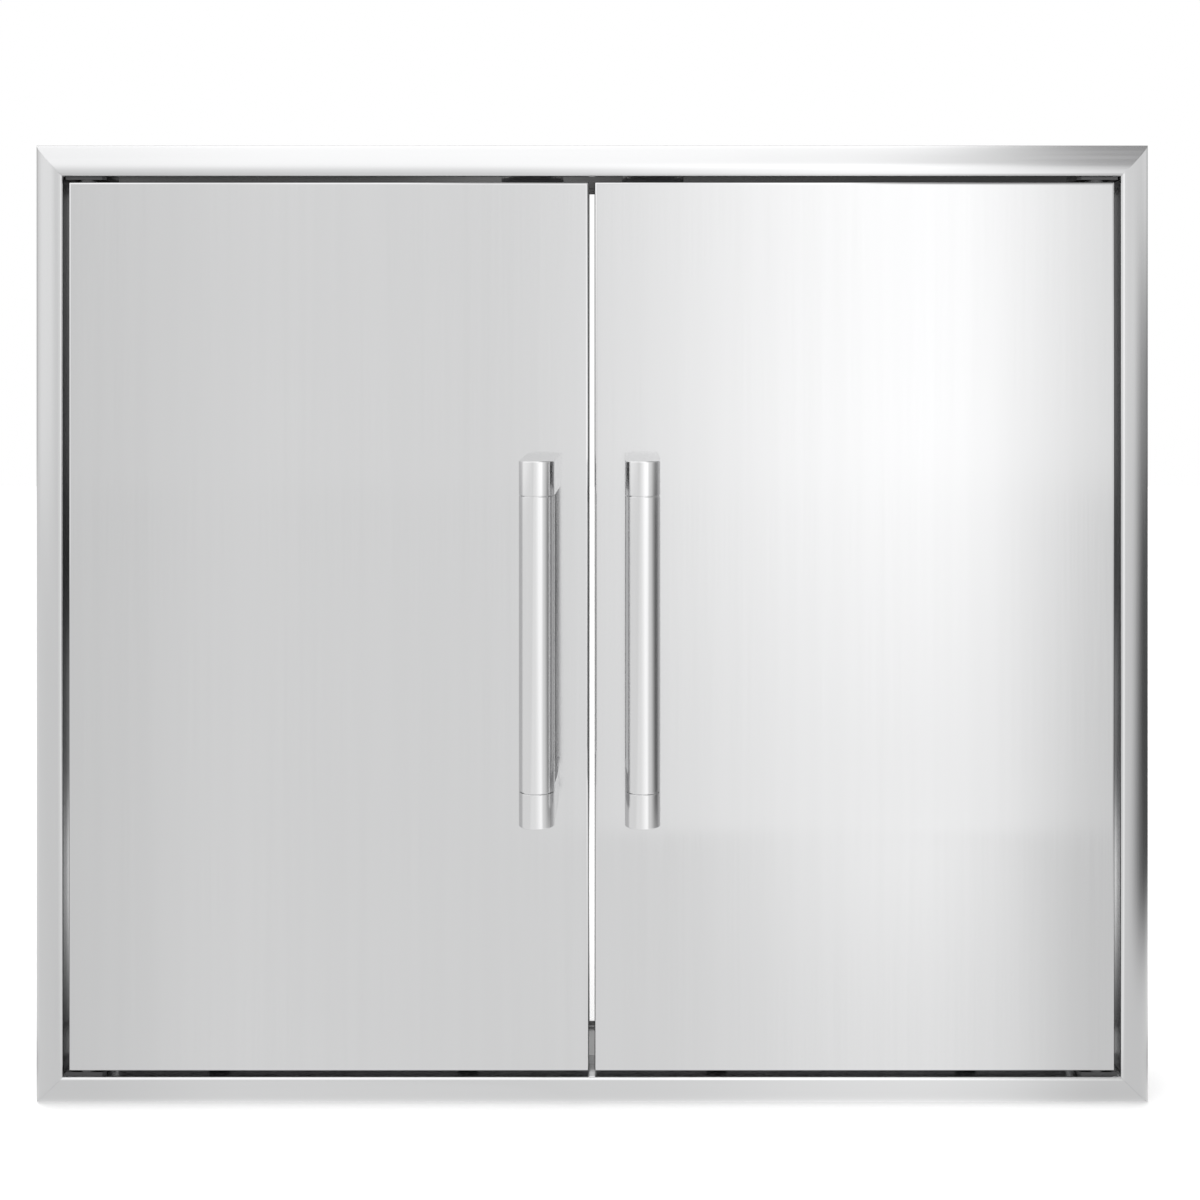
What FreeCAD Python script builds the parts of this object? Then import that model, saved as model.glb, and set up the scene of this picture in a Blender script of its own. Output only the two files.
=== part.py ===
import FreeCAD, Part
import math
import os
import re
import Sketcher

# Stainless double access door for an outdoor kitchen island: a mitred frame, two hollow doors,
# their bar handles, lift-off hinges and magnetic catches. Millimetres throughout.
# +X is right seen from the front, the front faces -Y, +Z is up. The origin is the centre of the
# wall cut-out on the wall's face, so -Y is proud of the wall and +Y is inside the island.

Vector = FreeCAD.Vector
Rotation = FreeCAD.Rotation
Placement = FreeCAD.Placement

# Each row is a size's name, its value or formula, and what it measures
DRIVING_SIZES = (
    ("overall_width", "787", "bezel from outer edge to outer edge"),
    ("overall_height", "677", "bezel from bottom to top"),
    ("rail_width", "23.5", "face width of a bezel rail"),
    ("rail_height", "20", "how far the bezel stands proud of the wall"),
    ("sheet", "1.2", "stainless sheet of the frame and the door skins"),
    ("hem_width", "5", "hem folded flat against the wall"),
    ("rail_side", "5", "straight outer side of a rail below its crown"),
    ("crown_flat", "0.5", "flat strip between the crown and the inner bend"),
    ("inner_bend", "2.5", "outer radius of the bend into the opening"),
    ("return_depth", "16", "how far a rail runs back past the wall's face"),
    ("sleeve_depth", "72", "depth of the sleeve behind the wall's face"),
    ("sleeve_flange", "11.5", "sleeve flange against the wall, from the opening"),
    ("sleeve_lip", "4", "stiffening lip at the back of the sleeve"),
    ("fixing_radius", "2.6", "clearance hole for a fixing screw"),
    ("fixing_spacing", "440", "between the two fixing holes of a side"),
    ("fixing_depth", "45", "fixing holes behind the wall's face"),
    ("reveal", "3.75", "gap between a door and the bezel"),
    ("centre_gap", "4", "gap between the two doors"),
    ("door_thickness", "20", "door from front to back"),
    ("door_recess", "1", "door front behind the crown of the bezel"),
    ("skin_bend", "2.2", "outer bend radius of the door skin"),
    ("liner_sheet", "1", "sheet of the door liner"),
    ("liner_flange", "10", "depth of the liner's flanges"),
    ("liner_bend", "1.5", "outer bend radius of the liner"),
    ("stiffener_width", "30", "stiffener between its side walls"),
    ("stiffener_foot", "9", "foot of the stiffener against the liner"),
    ("stiffener_height", "560", "length of the stiffener"),
    ("handle_radius", "12", "outer radius of the handle tube"),
    ("handle_wall", "1.5", "wall of the handle tube"),
    ("handle_length", "244", "handle over both end posts"),
    ("handle_drop", "3", "handle's middle below the door's middle"),
    ("handle_inset", "33.5", "handle axis from the door's inner edge"),
    ("handle_reach", "49", "handle axis in front of the door"),
    ("post_height", "23", "height of an end post"),
    ("spigot_length", "12", "spigot of a post inside the tube"),
    ("slip", "0.05", "clearance of a sliding or running fit"),
    ("press", "0.02", "clearance drawn at a pressed fit"),
    ("handle_screw_radius", "3", "shank of a handle screw"),
    ("handle_screw_grip", "12", "handle screw's thread inside a post"),
    ("handle_hole_radius", "3.3", "hole for a handle screw in the door"),
    ("handle_head_radius", "5.7", "hexagon head of a handle screw, middle to corner"),
    ("handle_head_height", "4", "thickness of that head"),
    ("washer_radius", "7", "washer under a handle screw"),
    ("washer_height", "1.2", "thickness of that washer"),
    ("hinge_inset", "12", "hinge axis from the door's outer edge"),
    ("hinge_depth", "9", "hinge axis behind the door's front"),
    ("pin_radius", "3", "hinge pin and hinge bolt"),
    ("plate_height", "2", "thickness of a hinge plate"),
    ("plate_length", "28", "hinge plate along the rail"),
    ("plate_gap", "1", "hinge plate from the side of the opening"),
    ("plate_front", "6", "hinge plate in front of the hinge axis"),
    ("plate_corner", "2.5", "corner cut off a hinge plate, a catch ear or a strike plate"),
    ("small_screw_radius", "1.75", "shank of a catch screw"),
    ("small_screw_length", "7.5", "length of a catch screw under its head"),
    ("small_head_radius", "3.4", "head of a catch screw"),
    ("small_head_height", "1.8", "thickness of that head"),
    ("bush_radius", "4.5", "outer radius of a hinge bush"),
    ("bush_flange_radius", "6.5", "flange of a hinge bush"),
    ("bush_flange_height", "1.5", "thickness of that flange"),
    ("bush_length", "8", "hinge bush inside the door"),
    ("pin_length", "16", "lower hinge pin above the rail"),
    ("bolt_throw", "6", "hinge bolt above the opening's top edge"),
    ("bolt_travel", "10", "how far the hinge bolt pulls down"),
    ("bolt_bend", "6", "bend of the hinge bolt's rod, each way"),
    ("bolt_tab_drop", "64.25", "finger tab below the door's top edge"),
    ("bolt_tab_reach", "12", "finger tab behind the door's back"),
    ("slot_clearance", "0.5", "room round the finger tab in its slot"),
    ("guide_top_drop", "19.5", "top of the bolt guide below the door's top edge"),
    ("guide_height", "31.2", "bolt guide over both its ears"),
    ("guide_width", "16", "width of the bolt guide"),
    ("guide_reach", "17", "how far the guide's ears come forward"),
    ("guide_sheet", "1.5", "sheet of the bolt guide"),
    ("clip_radius", "5", "retaining ring on the hinge bolt"),
    ("clip_height", "2", "height of that ring"),
    ("clip_gap", "0.2", "ring below the guide's upper ear"),
    ("spring_radius", "4.1", "mean radius of the bolt spring"),
    ("spring_wire", "0.5", "half of the spring's wire"),
    ("spring_turns", "3", "turns of the bolt spring"),
    ("stop_height", "6", "door stop above the bottom of the opening"),
    ("stop_front", "3", "door stop behind the wall's face"),
    ("stop_leg", "11", "foot of the door stop"),
    ("stop_length", "676", "length of the door stop"),
    ("pad_length", "14", "rubber pad on the door stop, along it"),
    ("pad_height", "4.4", "height of that pad"),
    ("pad_margin", "0.3", "pad below the top of the stop"),
    ("pad_gap", "0.2", "pad behind the closed door"),
    ("catch_inset", "41", "middle of a catch from the door's inner edge"),
    ("catch_length", "27", "catch housing along the rail"),
    ("catch_base_length", "44", "catch base with its two ears"),
    ("catch_base_height", "2", "thickness of that base"),
    ("catch_height", "16", "catch below the top of the opening"),
    ("catch_front", "3.2", "front of the housing behind the wall's face"),
    ("catch_depth", "12.8", "depth of the housing"),
    ("catch_wall", "1.5", "wall under the lower pole plate"),
    ("catch_screw_pitch", "36", "between the screws of a catch"),
    ("pole_height", "1.6", "thickness of a pole plate"),
    ("pole_length", "22", "length of a pole plate"),
    ("pole_depth", "11.5", "depth of a pole plate"),
    ("pole_front", "2.5", "pole plates behind the wall's face"),
    ("magnet_height", "4.3", "magnet between its pole plates"),
    ("magnet_setback", "1", "magnet behind the front of its poles"),
    ("strike_length", "44", "strike plate on the door's back"),
    ("strike_height", "13.5", "height of the strike plate"),
    ("strike_sheet", "1.2", "thickness of the strike plate"),
    ("strike_drop", "1.75", "strike plate below the door's top edge"),
    ("rivet_pitch", "34", "between the rivets of a strike plate"),
    ("rivet_radius", "1.5", "shank of a rivet"),
    ("rivet_head_radius", "2.4", "head of a rivet"),
    ("rivet_head_height", "0.8", "thickness of that head"),
    ("rivet_length", "3.7", "rivet under its head"),
)

# Sizes that follow from the driving ones
WORKED_OUT_SIZES = (
    ("half_width", "=overall_width / 2 - rail_width", "opening, middle to side"),
    ("half_height", "=overall_height / 2 - rail_width", "opening, middle to top"),
    ("crown_run", "=rail_width - inner_bend - crown_flat", "width of the crown's arc"),
    ("crown_rise", "=rail_height - rail_side", "height of the crown's arc"),
    ("crown_radius", "=(crown_run ^ 2 + crown_rise ^ 2) / (2 * crown_rise)", "arc of the crown"),
    ("crown_inside", "=crown_radius - sheet", "the same arc on the sheet's inside"),
    ("crown_foot", "=rail_height - crown_radius + sqrt(crown_inside ^ 2 - (crown_run - sheet) ^ 2)",
     "height at which the inside arc starts"),
    ("door_outer", "=half_width - reveal", "door's outer edge from the middle"),
    ("door_inner", "=centre_gap / 2", "door's inner edge from the middle"),
    ("door_half_height", "=half_height - reveal", "door, middle to top"),
    ("door_front", "=door_recess - rail_height", "door's front face"),
    ("door_back", "=door_front + door_thickness", "door's back face"),
    ("hinge_x", "=hinge_inset - door_outer", "left hinge axis"),
    ("hinge_y", "=door_front + hinge_depth", "both hinge axes"),
    ("handle_x", "=-door_inner - handle_inset", "left handle axis"),
    ("handle_y", "=door_front - handle_reach", "both handle axes"),
    ("handle_top", "=handle_length / 2 - handle_drop", "top of a handle"),
    ("tube_length", "=handle_length - 2 * post_height", "tube between the posts"),
    ("post_screw_z", "=handle_top - post_height / 2", "upper handle screw"),
    ("bore_radius", "=handle_radius - handle_wall", "inside of the handle tube"),
    ("plate_x", "=plate_gap + plate_length / 2 - half_width", "middle of a left hinge plate"),
    ("bolt_tip", "=half_height + bolt_throw", "top of the hinge bolt"),
    ("tab_z", "=door_half_height - bolt_tab_drop", "finger tab's axis"),
    ("tab_end", "=door_back + bolt_tab_reach", "end of the finger tab"),
    ("guide_top", "=door_half_height - guide_top_drop", "top of the bolt guide"),
    ("guide_floor", "=guide_top - guide_height + guide_sheet", "lower ear's upper face"),
    ("clip_top", "=guide_top - guide_sheet - clip_gap", "top of the retaining ring"),
    ("liner_face", "=door_back - liner_sheet", "liner's inner face"),
    ("catch_x", "=-door_inner - catch_inset", "middle of the left catch"),
    ("catch_floor", "=half_height - catch_height", "underside of the catch"),
    ("pole_floor", "=catch_floor + catch_wall", "underside of the lower pole plate"),
    ("strike_top", "=door_half_height - strike_drop", "top edge of a strike plate"),
    ("strike_z", "=strike_top - strike_height / 2", "middle of a strike plate"),
)

ALIASES = {row[0] for row in DRIVING_SIZES + WORKED_OUT_SIZES}
X_AXIS = Vector(1, 0, 0)
Y_AXIS = Vector(0, 1, 0)
Z_AXIS = Vector(0, 0, 1)
# Long enough to cut right across any section of the frame
MITRE_REACH = 30

os.makedirs("parts", exist_ok=True)
doc = FreeCAD.newDocument("island_access_door")
sheet = doc.addObject("Spreadsheet::Sheet", "Sizes")
sub_parts = []


# The size sheet and expressions on it

def fill_sheet():
    """Write every size into the sheet with its alias and its meaning."""
    for row, (alias, value, meaning) in enumerate(DRIVING_SIZES + WORKED_OUT_SIZES, start=1):
        sheet.set("A%d" % row, meaning)
        sheet.set("B%d" % row, value)
        sheet.setAlias("B%d" % row, alias)
    doc.recompute()


def on_sheet(formula):
    """Turn a formula on plain size names into one that other objects can evaluate."""
    return re.sub(r"[a-z][a-z_]+", lambda word: "Sizes." + word.group()
                  if word.group() in ALIASES else word.group(), formula)


def size(formula):
    """Work out a formula on the sheet as a plain number."""
    return float(sheet.evalExpression(on_sheet(formula)))


# Bodies and sketches

def new_body(label):
    """Start a body whose label is the sub-part's name."""
    body = doc.addObject("PartDesign::Body", label)
    body.Label = label
    return body


def keep(part):
    """Record a finished object as a sub-part to be written."""
    sub_parts.append(part)
    return part


def sketch_on(body, plane, offset=None):
    """Attach a sketch to a plane of the body's own origin, raised by an offset formula."""
    sketch = body.newObject("Sketcher::SketchObject", body.Label + "_sketch")
    support = next(face for face in body.Origin.OriginFeatures if face.Role == plane)
    sketch.AttachmentSupport = (support, [""])
    sketch.MapMode = "FlatFace"
    if offset is not None:
        sketch.setExpression("AttachmentOffset.Base.z", on_sheet(offset))
    return sketch


def pin_point(sketch, geometry, position, point):
    """Tie one point of a sketch to a pair of formulas."""
    for kind, formula in zip(("DistanceX", "DistanceY"), point):
        number = sketch.addConstraint(
            Sketcher.Constraint(kind, -1, 1, geometry, position, size(formula)))
        sketch.setExpression("Constraints[%d]" % number, on_sheet(formula))


def set_radius(sketch, geometry, formula):
    """Tie the radius of an arc or a circle to a formula."""
    number = sketch.addConstraint(Sketcher.Constraint("Radius", geometry, size(formula)))
    sketch.setExpression("Constraints[%d]" % number, on_sheet(formula))


def arc_between(start, end, radius, side):
    """Draw the short arc from start to end, its centre to the left (1) or right (-1)."""
    chord = end - start
    rise = math.sqrt(max(radius ** 2 - chord.Length ** 2 / 4, 0))
    left = Vector(-chord.y, chord.x, 0).normalize()
    centre = (start + end) * 0.5 + left * (rise * side)
    first, last = (start, end) if side > 0 else (end, start)
    angles = [math.atan2(point.y - centre.y, point.x - centre.x) for point in (first, last)]
    return Part.ArcOfCircle(Part.Circle(centre, Z_AXIS, radius), *angles)


def draw_outline(sketch, corners, arcs=None):
    """Close an outline through corners, each a pair of formulas.

    arcs gives, for the corner that an arc leaves, its radius formula and its side. A half
    circle has no formula: it runs on smoothly from the line before it.
    """
    arcs = arcs or {}
    points = [Vector(size(corner[0]), size(corner[1]), 0) for corner in corners]
    edges = []
    for index, start in enumerate(points):
        end = points[(index + 1) % len(points)]
        if index in arcs:
            formula, side = arcs[index]
            radius = (end - start).Length / 2 if formula is None else size(formula)
            edge = sketch.addGeometry(arc_between(start, end, radius, side))
            edges.append((edge, 1, 2) if side > 0 else (edge, 2, 1))
        else:
            edges.append((sketch.addGeometry(Part.LineSegment(start, end)), 1, 2))
    for index, (edge, first, last) in enumerate(edges):
        following = (index + 1) % len(edges)
        half_circle = arcs.get(following, ("", 0))[0] is None
        sketch.addConstraint(Sketcher.Constraint(
            "Tangent" if half_circle else "Coincident",
            edge, last, edges[following][0], edges[following][1]))
        pin_point(sketch, edge, first, corners[index])
        if index in arcs and arcs[index][0] is not None:
            set_radius(sketch, edge, arcs[index][0])


def draw_box(sketch, left, right, low, high):
    """Draw a rectangle between four formulas."""
    draw_outline(sketch, ((left, low), (right, low), (right, high), (left, high)))


def draw_circle(sketch, x, y, radius):
    """Draw a circle round a point given by two formulas."""
    centre = Vector(size(x), size(y), 0)
    circle = sketch.addGeometry(Part.Circle(centre, Z_AXIS, size(radius)))
    pin_point(sketch, circle, 3, (x, y))
    set_radius(sketch, circle, radius)


# Features

def finish(body, feature):
    """Make a feature the body's tip and check that it worked."""
    body.Tip = feature
    doc.recompute()
    if feature.Shape.isNull() or not body.Shape.isValid():
        raise RuntimeError("%s of %s failed: %s" % (feature.Name, body.Label, feature.State))
    return feature


def pad(body, sketch, length, symmetric=False, backwards=False):
    """Pad a sketch by a length formula."""
    feature = body.newObject("PartDesign::Pad", body.Label + "_pad")
    feature.Profile = sketch
    feature.Midplane = symmetric
    feature.Reversed = backwards
    feature.setExpression("Length", on_sheet(length))
    return finish(body, feature)


def pocket(body, sketch, length, symmetric=False, backwards=False):
    """Cut a sketch into the body by a length formula and check that it took material away."""
    before = body.Shape.Volume
    feature = body.newObject("PartDesign::Pocket", body.Label + "_pocket")
    feature.Profile = sketch
    feature.Midplane = symmetric
    feature.Reversed = backwards
    feature.setExpression("Length", on_sheet(length))
    finish(body, feature)
    if body.Shape.Volume > before - 0.01:
        raise RuntimeError("a pocket of %s cut nothing" % body.Label)
    return feature


def spin(body, sketch):
    """Revolve a sketch round its own vertical axis."""
    feature = body.newObject("PartDesign::Revolution", body.Label + "_spin")
    feature.Profile = sketch
    feature.ReferenceAxis = (sketch, ["V_Axis"])
    feature.Angle = 360
    return finish(body, feature)


def edges_at(body, **planes):
    """Name the body's edges whose every vertex lies on all the given planes, such as z="0"."""
    wanted = {axis: size(formula) for axis, formula in planes.items()}
    names = []
    for number, edge in enumerate(body.Shape.Edges, start=1):
        ends = [vertex.Point for vertex in edge.Vertexes]
        if all(abs(getattr(end, axis) - value) < 0.001
               for end in ends for axis, value in wanted.items()):
            names.append("Edge%d" % number)
    if not names:
        raise RuntimeError("no edge of %s lies at %s" % (body.Label, planes))
    return names


def dress(body, kind, edges, amount):
    """Fillet or chamfer edges by a formula."""
    base = body.Tip
    feature = body.newObject("PartDesign::" + kind, body.Label + "_" + kind.lower())
    feature.Base = (base, edges)
    feature.setExpression("Radius" if kind == "Fillet" else "Size", on_sheet(amount))
    return finish(body, feature)


def mirrored(label, source, normal, base=None):
    """Mirror a sub-part in a plane square to normal, base giving the plane's place on Z."""
    copy = doc.addObject("Part::Mirroring", label)
    copy.Label = label
    copy.Source = source
    copy.Normal = normal
    if base is not None:
        copy.setExpression("Base.z", on_sheet(base))
    doc.recompute()
    return keep(copy)


def right_copy(source):
    """Mirror a left-hand sub-part to the right."""
    return mirrored(source.Label.replace("left_", "right_"), source, X_AXIS)


def group(label, source, places, rotation=Rotation()):
    """Join copies of one fastener into one sub-part, each place a triple of formulas."""
    links = []
    for place in places:
        link = doc.addObject("App::Link", label + "_copy")
        link.LinkedObject = source
        link.Placement = Placement(Vector(), rotation)
        for axis, formula in zip("xyz", place):
            link.setExpression("Placement.Base." + axis, on_sheet(formula))
        links.append(link)
    compound = doc.addObject("Part::Compound", label)
    compound.Label = label
    compound.Links = links
    doc.recompute()
    return compound


# Frame: four rails and four sleeve walls, mitred at their corners

def mitre(body, half_out, half_along):
    """Cut both ends of a frame member to 45 degrees."""
    sketch = sketch_on(body, "XZ_Plane")
    inner = ("%s - %d" % (half_along, MITRE_REACH), "%s - %d" % (half_out, MITRE_REACH))
    outer = ("%s + %d" % (half_along, MITRE_REACH), "%s + %d" % (half_out, MITRE_REACH))
    draw_outline(sketch, (inner, (outer[0], inner[1]), outer))
    cut = pocket(body, sketch, "4 * sleeve_depth", symmetric=True)
    other_end = body.newObject("PartDesign::Mirrored", body.Label + "_other_end")
    other_end.Originals = [cut]
    side_plane = next(face for face in body.Origin.OriginFeatures if face.Role == "YZ_Plane")
    other_end.MirrorPlane = (side_plane, [""])
    finish(body, other_end)


def bore_return(body, half_out, holes, radius):
    """Bore round holes through the sheet that lines the opening.

    Args: holes are pairs of formulas, the place along the member and the depth.
    """
    sketch = sketch_on(body, "XY_Plane", half_out)
    for along, depth in holes:
        draw_circle(sketch, along, depth, radius)
    pocket(body, sketch, "2 * sheet + slip", backwards=True)


def bezel_rail(label, angle, half_out, half_along):
    """Form one rail: hem, side, crowned face, inner bend and the return into the opening."""
    body = new_body(label)

    def at(inwards, proud):
        return ("-(%s)" % proud, "%s + rail_width - (%s)" % (half_out, inwards))

    section = sketch_on(body, "YZ_Plane")
    draw_outline(section, (
        at("hem_width", "0"),
        at("0", "0"),
        at("0", "rail_side"),
        at("crown_run", "rail_height"),
        at("crown_run + crown_flat", "rail_height"),
        at("rail_width", "rail_height - inner_bend"),
        at("rail_width", "-return_depth"),
        at("rail_width - sheet", "-return_depth"),
        at("rail_width - sheet", "rail_height - inner_bend"),
        at("crown_run + crown_flat", "rail_height - sheet"),
        at("crown_run", "rail_height - sheet"),
        at("sheet", "crown_foot"),
        at("sheet", "sheet"),
        at("hem_width", "sheet"),
    ), {
        2: ("crown_radius", 1),
        4: ("inner_bend", 1),
        8: ("inner_bend - sheet", -1),
        10: ("crown_inside", -1),
    })
    pad(body, section, "2 * (%s + rail_width)" % half_along, symmetric=True)
    mitre(body, half_out, half_along)
    body.Placement = Placement(Vector(), Rotation(Y_AXIS, angle))
    return keep(body)


def sleeve_wall(label, angle, half_out, half_along):
    """Fold one wall of the sleeve, with its front flange and the lip at its back."""
    body = new_body(label)
    inside = "%s + sheet" % half_out
    outside = "%s + 2 * sheet" % half_out
    lip = "%s + sheet - sleeve_lip" % half_out
    flange = "%s + sleeve_flange" % half_out
    section = sketch_on(body, "YZ_Plane")
    draw_outline(section, (
        ("-sheet", inside),
        ("-sheet", flange),
        ("0", flange),
        ("0", outside),
        ("sleeve_depth", outside),
        ("sleeve_depth", lip),
        ("sleeve_depth - sheet", lip),
        ("sleeve_depth - sheet", inside),
    ))
    pad(body, section, "2 * (%s + rail_width)" % half_along, symmetric=True)
    dress(body, "Fillet", edges_at(body, y="0", z=outside), "sheet")
    dress(body, "Fillet", edges_at(body, y="sleeve_depth - sheet", z=inside), "sheet")
    dress(body, "Fillet", edges_at(body, y="sleeve_depth", z=outside), "2 * sheet")
    mitre(body, half_out, half_along)
    body.Placement = Placement(Vector(), Rotation(Y_AXIS, angle))
    return keep(body)


def both_sides(places):
    """Repeat places on the left of the middle on its right too."""
    return tuple(places) + tuple(("-(%s)" % place[0],) + place[1:] for place in places)


CATCH_SCREWS = both_sides((
    ("catch_x - catch_screw_pitch / 2", "catch_front + catch_depth / 2"),
    ("catch_x + catch_screw_pitch / 2", "catch_front + catch_depth / 2"),
))


def frame():
    """Make the rails and sleeve walls, and bore what passes through them."""
    across = ("half_height", "half_width")
    upright = ("half_width", "half_height")
    members = {}
    for maker, name in ((bezel_rail, "bezel_%s_rail"), (sleeve_wall, "sleeve_%s")):
        for side, angle, halves in (("top", 0, across), ("bottom", 180, across),
                                    ("left", -90, upright), ("right", 90, upright)):
            members[name % side] = maker(name % side, angle, *halves)
    for name in ("bezel_top_rail", "sleeve_top"):
        bore_return(members[name], "half_height", CATCH_SCREWS, "small_screw_radius + slip")
    bore_return(members["bezel_top_rail"], "half_height", both_sides((("hinge_x", "hinge_y"),)),
                "pin_radius + slot_clearance")
    for name in ("sleeve_left", "sleeve_right"):
        heights = ("-fixing_spacing / 2", "fixing_spacing / 2")
        bore_return(members[name], "half_width",
                    [(height, "fixing_depth") for height in heights], "fixing_radius")


def door_stop():
    """Fold the angle that both doors close against, along the bottom of the opening."""
    body = new_body("lower_door_stop")
    floor = "-half_height"
    top = "stop_height - half_height"
    section = sketch_on(body, "YZ_Plane")
    draw_outline(section, (
        ("stop_front", floor),
        ("stop_front + stop_leg", floor),
        ("stop_front + stop_leg", "sheet - half_height"),
        ("stop_front + sheet", "sheet - half_height"),
        ("stop_front + sheet", top),
        ("stop_front", top),
    ))
    pad(body, section, "stop_length", symmetric=True)
    dress(body, "Fillet", edges_at(body, y="stop_front + sheet", z="sheet - half_height"), "sheet")
    keep(body)


def stop_pads():
    """Make the rubber pads on the front of the door stop."""
    body = new_body("stop_pad_pattern")
    sketch = sketch_on(body, "XY_Plane")
    draw_box(sketch, "-pad_length / 2", "pad_length / 2", "-pad_height / 2", "pad_height / 2")
    pad(body, sketch, "stop_front - door_back - pad_gap")
    heights = "stop_height - pad_height / 2 - pad_margin - half_height"
    places = both_sides((("0.25 * hinge_x", "stop_front", heights),
                         ("0.75 * hinge_x", "stop_front", heights)))
    keep(group("stop_pads", body, places, Rotation(X_AXIS, 90)))


# Hinges

def hinge_plate(label, hole_radius):
    """Make a left plate, welded under the top rail and bored for the pin."""
    body = new_body(label)
    left = "plate_x - plate_length / 2"
    right = "plate_x + plate_length / 2"
    outline = sketch_on(body, "XY_Plane", "half_height - plate_height")
    draw_box(outline, left, right, "hinge_y - plate_front", "return_depth")
    draw_circle(outline, "hinge_x", "hinge_y", hole_radius)
    pad(body, outline, "plate_height")
    corners = edges_at(body, x=left, y="return_depth") + edges_at(body, x=right, y="return_depth")
    corners += edges_at(body, x=right, y="hinge_y - plate_front")
    dress(body, "Chamfer", corners, "plate_corner")
    return body


def hinges():
    """Make the four plates and the two lower pins."""
    upper = keep(hinge_plate("left_upper_hinge_plate", "pin_radius + slip"))
    right_copy(upper)
    lower_pattern = hinge_plate("lower_plate_pattern", "pin_radius + press")
    lower = mirrored("left_lower_hinge_plate", lower_pattern, Z_AXIS)
    right_copy(lower)

    pin = new_body("left_lower_hinge_pin")
    outline = sketch_on(pin, "XY_Plane", "-half_height")
    draw_circle(outline, "hinge_x", "hinge_y", "pin_radius")
    pad(pin, outline, "pin_length")
    right_copy(keep(pin))


def bush():
    """Make the flanged bush in the door's top edge and its twin in the bottom edge."""
    body = new_body("left_upper_bush")
    flange = sketch_on(body, "XY_Plane", "door_half_height")
    draw_circle(flange, "hinge_x", "hinge_y", "bush_flange_radius")
    pad(body, flange, "bush_flange_height")
    barrel = sketch_on(body, "XY_Plane", "door_half_height")
    draw_circle(barrel, "hinge_x", "hinge_y", "bush_radius")
    pad(body, barrel, "bush_length", backwards=True)
    bore = sketch_on(body, "XY_Plane", "door_half_height")
    draw_circle(bore, "hinge_x", "hinge_y", "pin_radius + slip")
    pocket(body, bore, "4 * bush_length", symmetric=True)
    keep(body)
    right_copy(body)
    right_copy(mirrored("left_lower_bush", body, Z_AXIS))


def hinge_bolt():
    """Sweep the lift-off bolt: a rod through the door's top edge, bent back as a finger tab."""
    body = new_body("left_hinge_bolt")
    route = sketch_on(body, "YZ_Plane", "hinge_x")
    knots = (
        ("hinge_y", "bolt_tip"),
        ("hinge_y", "tab_z + bolt_bend"),
        ("hinge_y + bolt_bend", "tab_z"),
        ("tab_end", "tab_z"),
    )
    places = [Vector(size(y), size(z), 0) for y, z in knots]
    route.addGeometry([Part.LineSegment(*ends) for ends in zip(places, places[1:])])
    for run in range(len(knots) - 1):
        pin_point(route, run, 1, knots[run])
        if run:
            route.addConstraint(Sketcher.Constraint("Coincident", run - 1, 2, run, 1))
    pin_point(route, len(knots) - 2, 2, knots[-1])
    rod = sketch_on(body, "XY_Plane", "bolt_tip")
    draw_circle(rod, "hinge_x", "hinge_y", "pin_radius")
    sweep = body.newObject("PartDesign::AdditivePipe", "left_hinge_bolt_sweep")
    sweep.Profile = rod
    sweep.Spine = (route, [])
    sweep.Transition = "Right corner"
    finish(body, sweep)
    right_copy(keep(body))

    clip = new_body("left_bolt_clip")
    ring = sketch_on(clip, "XY_Plane", "clip_top")
    draw_circle(ring, "hinge_x", "hinge_y", "clip_radius")
    draw_circle(ring, "hinge_x", "hinge_y", "pin_radius + press")
    pad(clip, ring, "clip_height", backwards=True)
    right_copy(keep(clip))


def bolt_guide():
    """Fold the bracket inside the door that the hinge bolt slides in."""
    body = new_body("left_bolt_guide")
    back = "liner_face"
    front = "liner_face - guide_reach"
    foot = "guide_top - guide_height"
    section = sketch_on(body, "YZ_Plane", "hinge_x")
    draw_outline(section, (
        (back, foot),
        (back, "guide_top"),
        (front, "guide_top"),
        (front, "guide_top - guide_sheet"),
        (back + " - guide_sheet", "guide_top - guide_sheet"),
        (back + " - guide_sheet", "guide_floor"),
        (front, "guide_floor"),
        (front, foot),
    ))
    pad(body, section, "guide_width", symmetric=True)
    for z, radius in (("guide_top", "2 * guide_sheet"), (foot, "2 * guide_sheet")):
        dress(body, "Fillet", edges_at(body, y=back, z=z), radius)
    for z in ("guide_top - guide_sheet", "guide_floor"):
        dress(body, "Fillet", edges_at(body, y=back + " - guide_sheet", z=z), "guide_sheet")
    bore = sketch_on(body, "XY_Plane", "guide_top")
    draw_circle(bore, "hinge_x", "hinge_y", "pin_radius + slip")
    pocket(body, bore, "4 * guide_height", symmetric=True)
    right_copy(keep(body))


def bolt_spring():
    """Coil the spring that pushes the bolt up, between the guide's floor and the ring."""
    body = new_body("left_bolt_spring")
    section = sketch_on(body, "XZ_Plane")
    sides = 4
    draw_outline(section, [
        ("spring_radius + spring_wire * %.4f" % math.cos((side + 0.5) * 2 * math.pi / sides),
         "spring_wire * %.4f" % math.sin((side + 0.5) * 2 * math.pi / sides))
        for side in range(sides)])
    coil = body.newObject("PartDesign::AdditiveHelix", "left_bolt_spring_coil")
    coil.Profile = section
    coil.ReferenceAxis = (section, ["V_Axis"])
    coil.Mode = "height-turns-angle"
    coil.Angle = 0
    coil.setExpression(
        "Height", on_sheet("clip_top - clip_height - guide_floor - 2 * spring_wire"))
    coil.setExpression("Turns", on_sheet("spring_turns"))
    finish(body, coil)
    for axis, formula in zip("xyz", ("hinge_x", "hinge_y", "guide_floor + spring_wire")):
        body.setExpression("Placement.Base." + axis, on_sheet(formula))
    right_copy(keep(body))


# Doors

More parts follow.
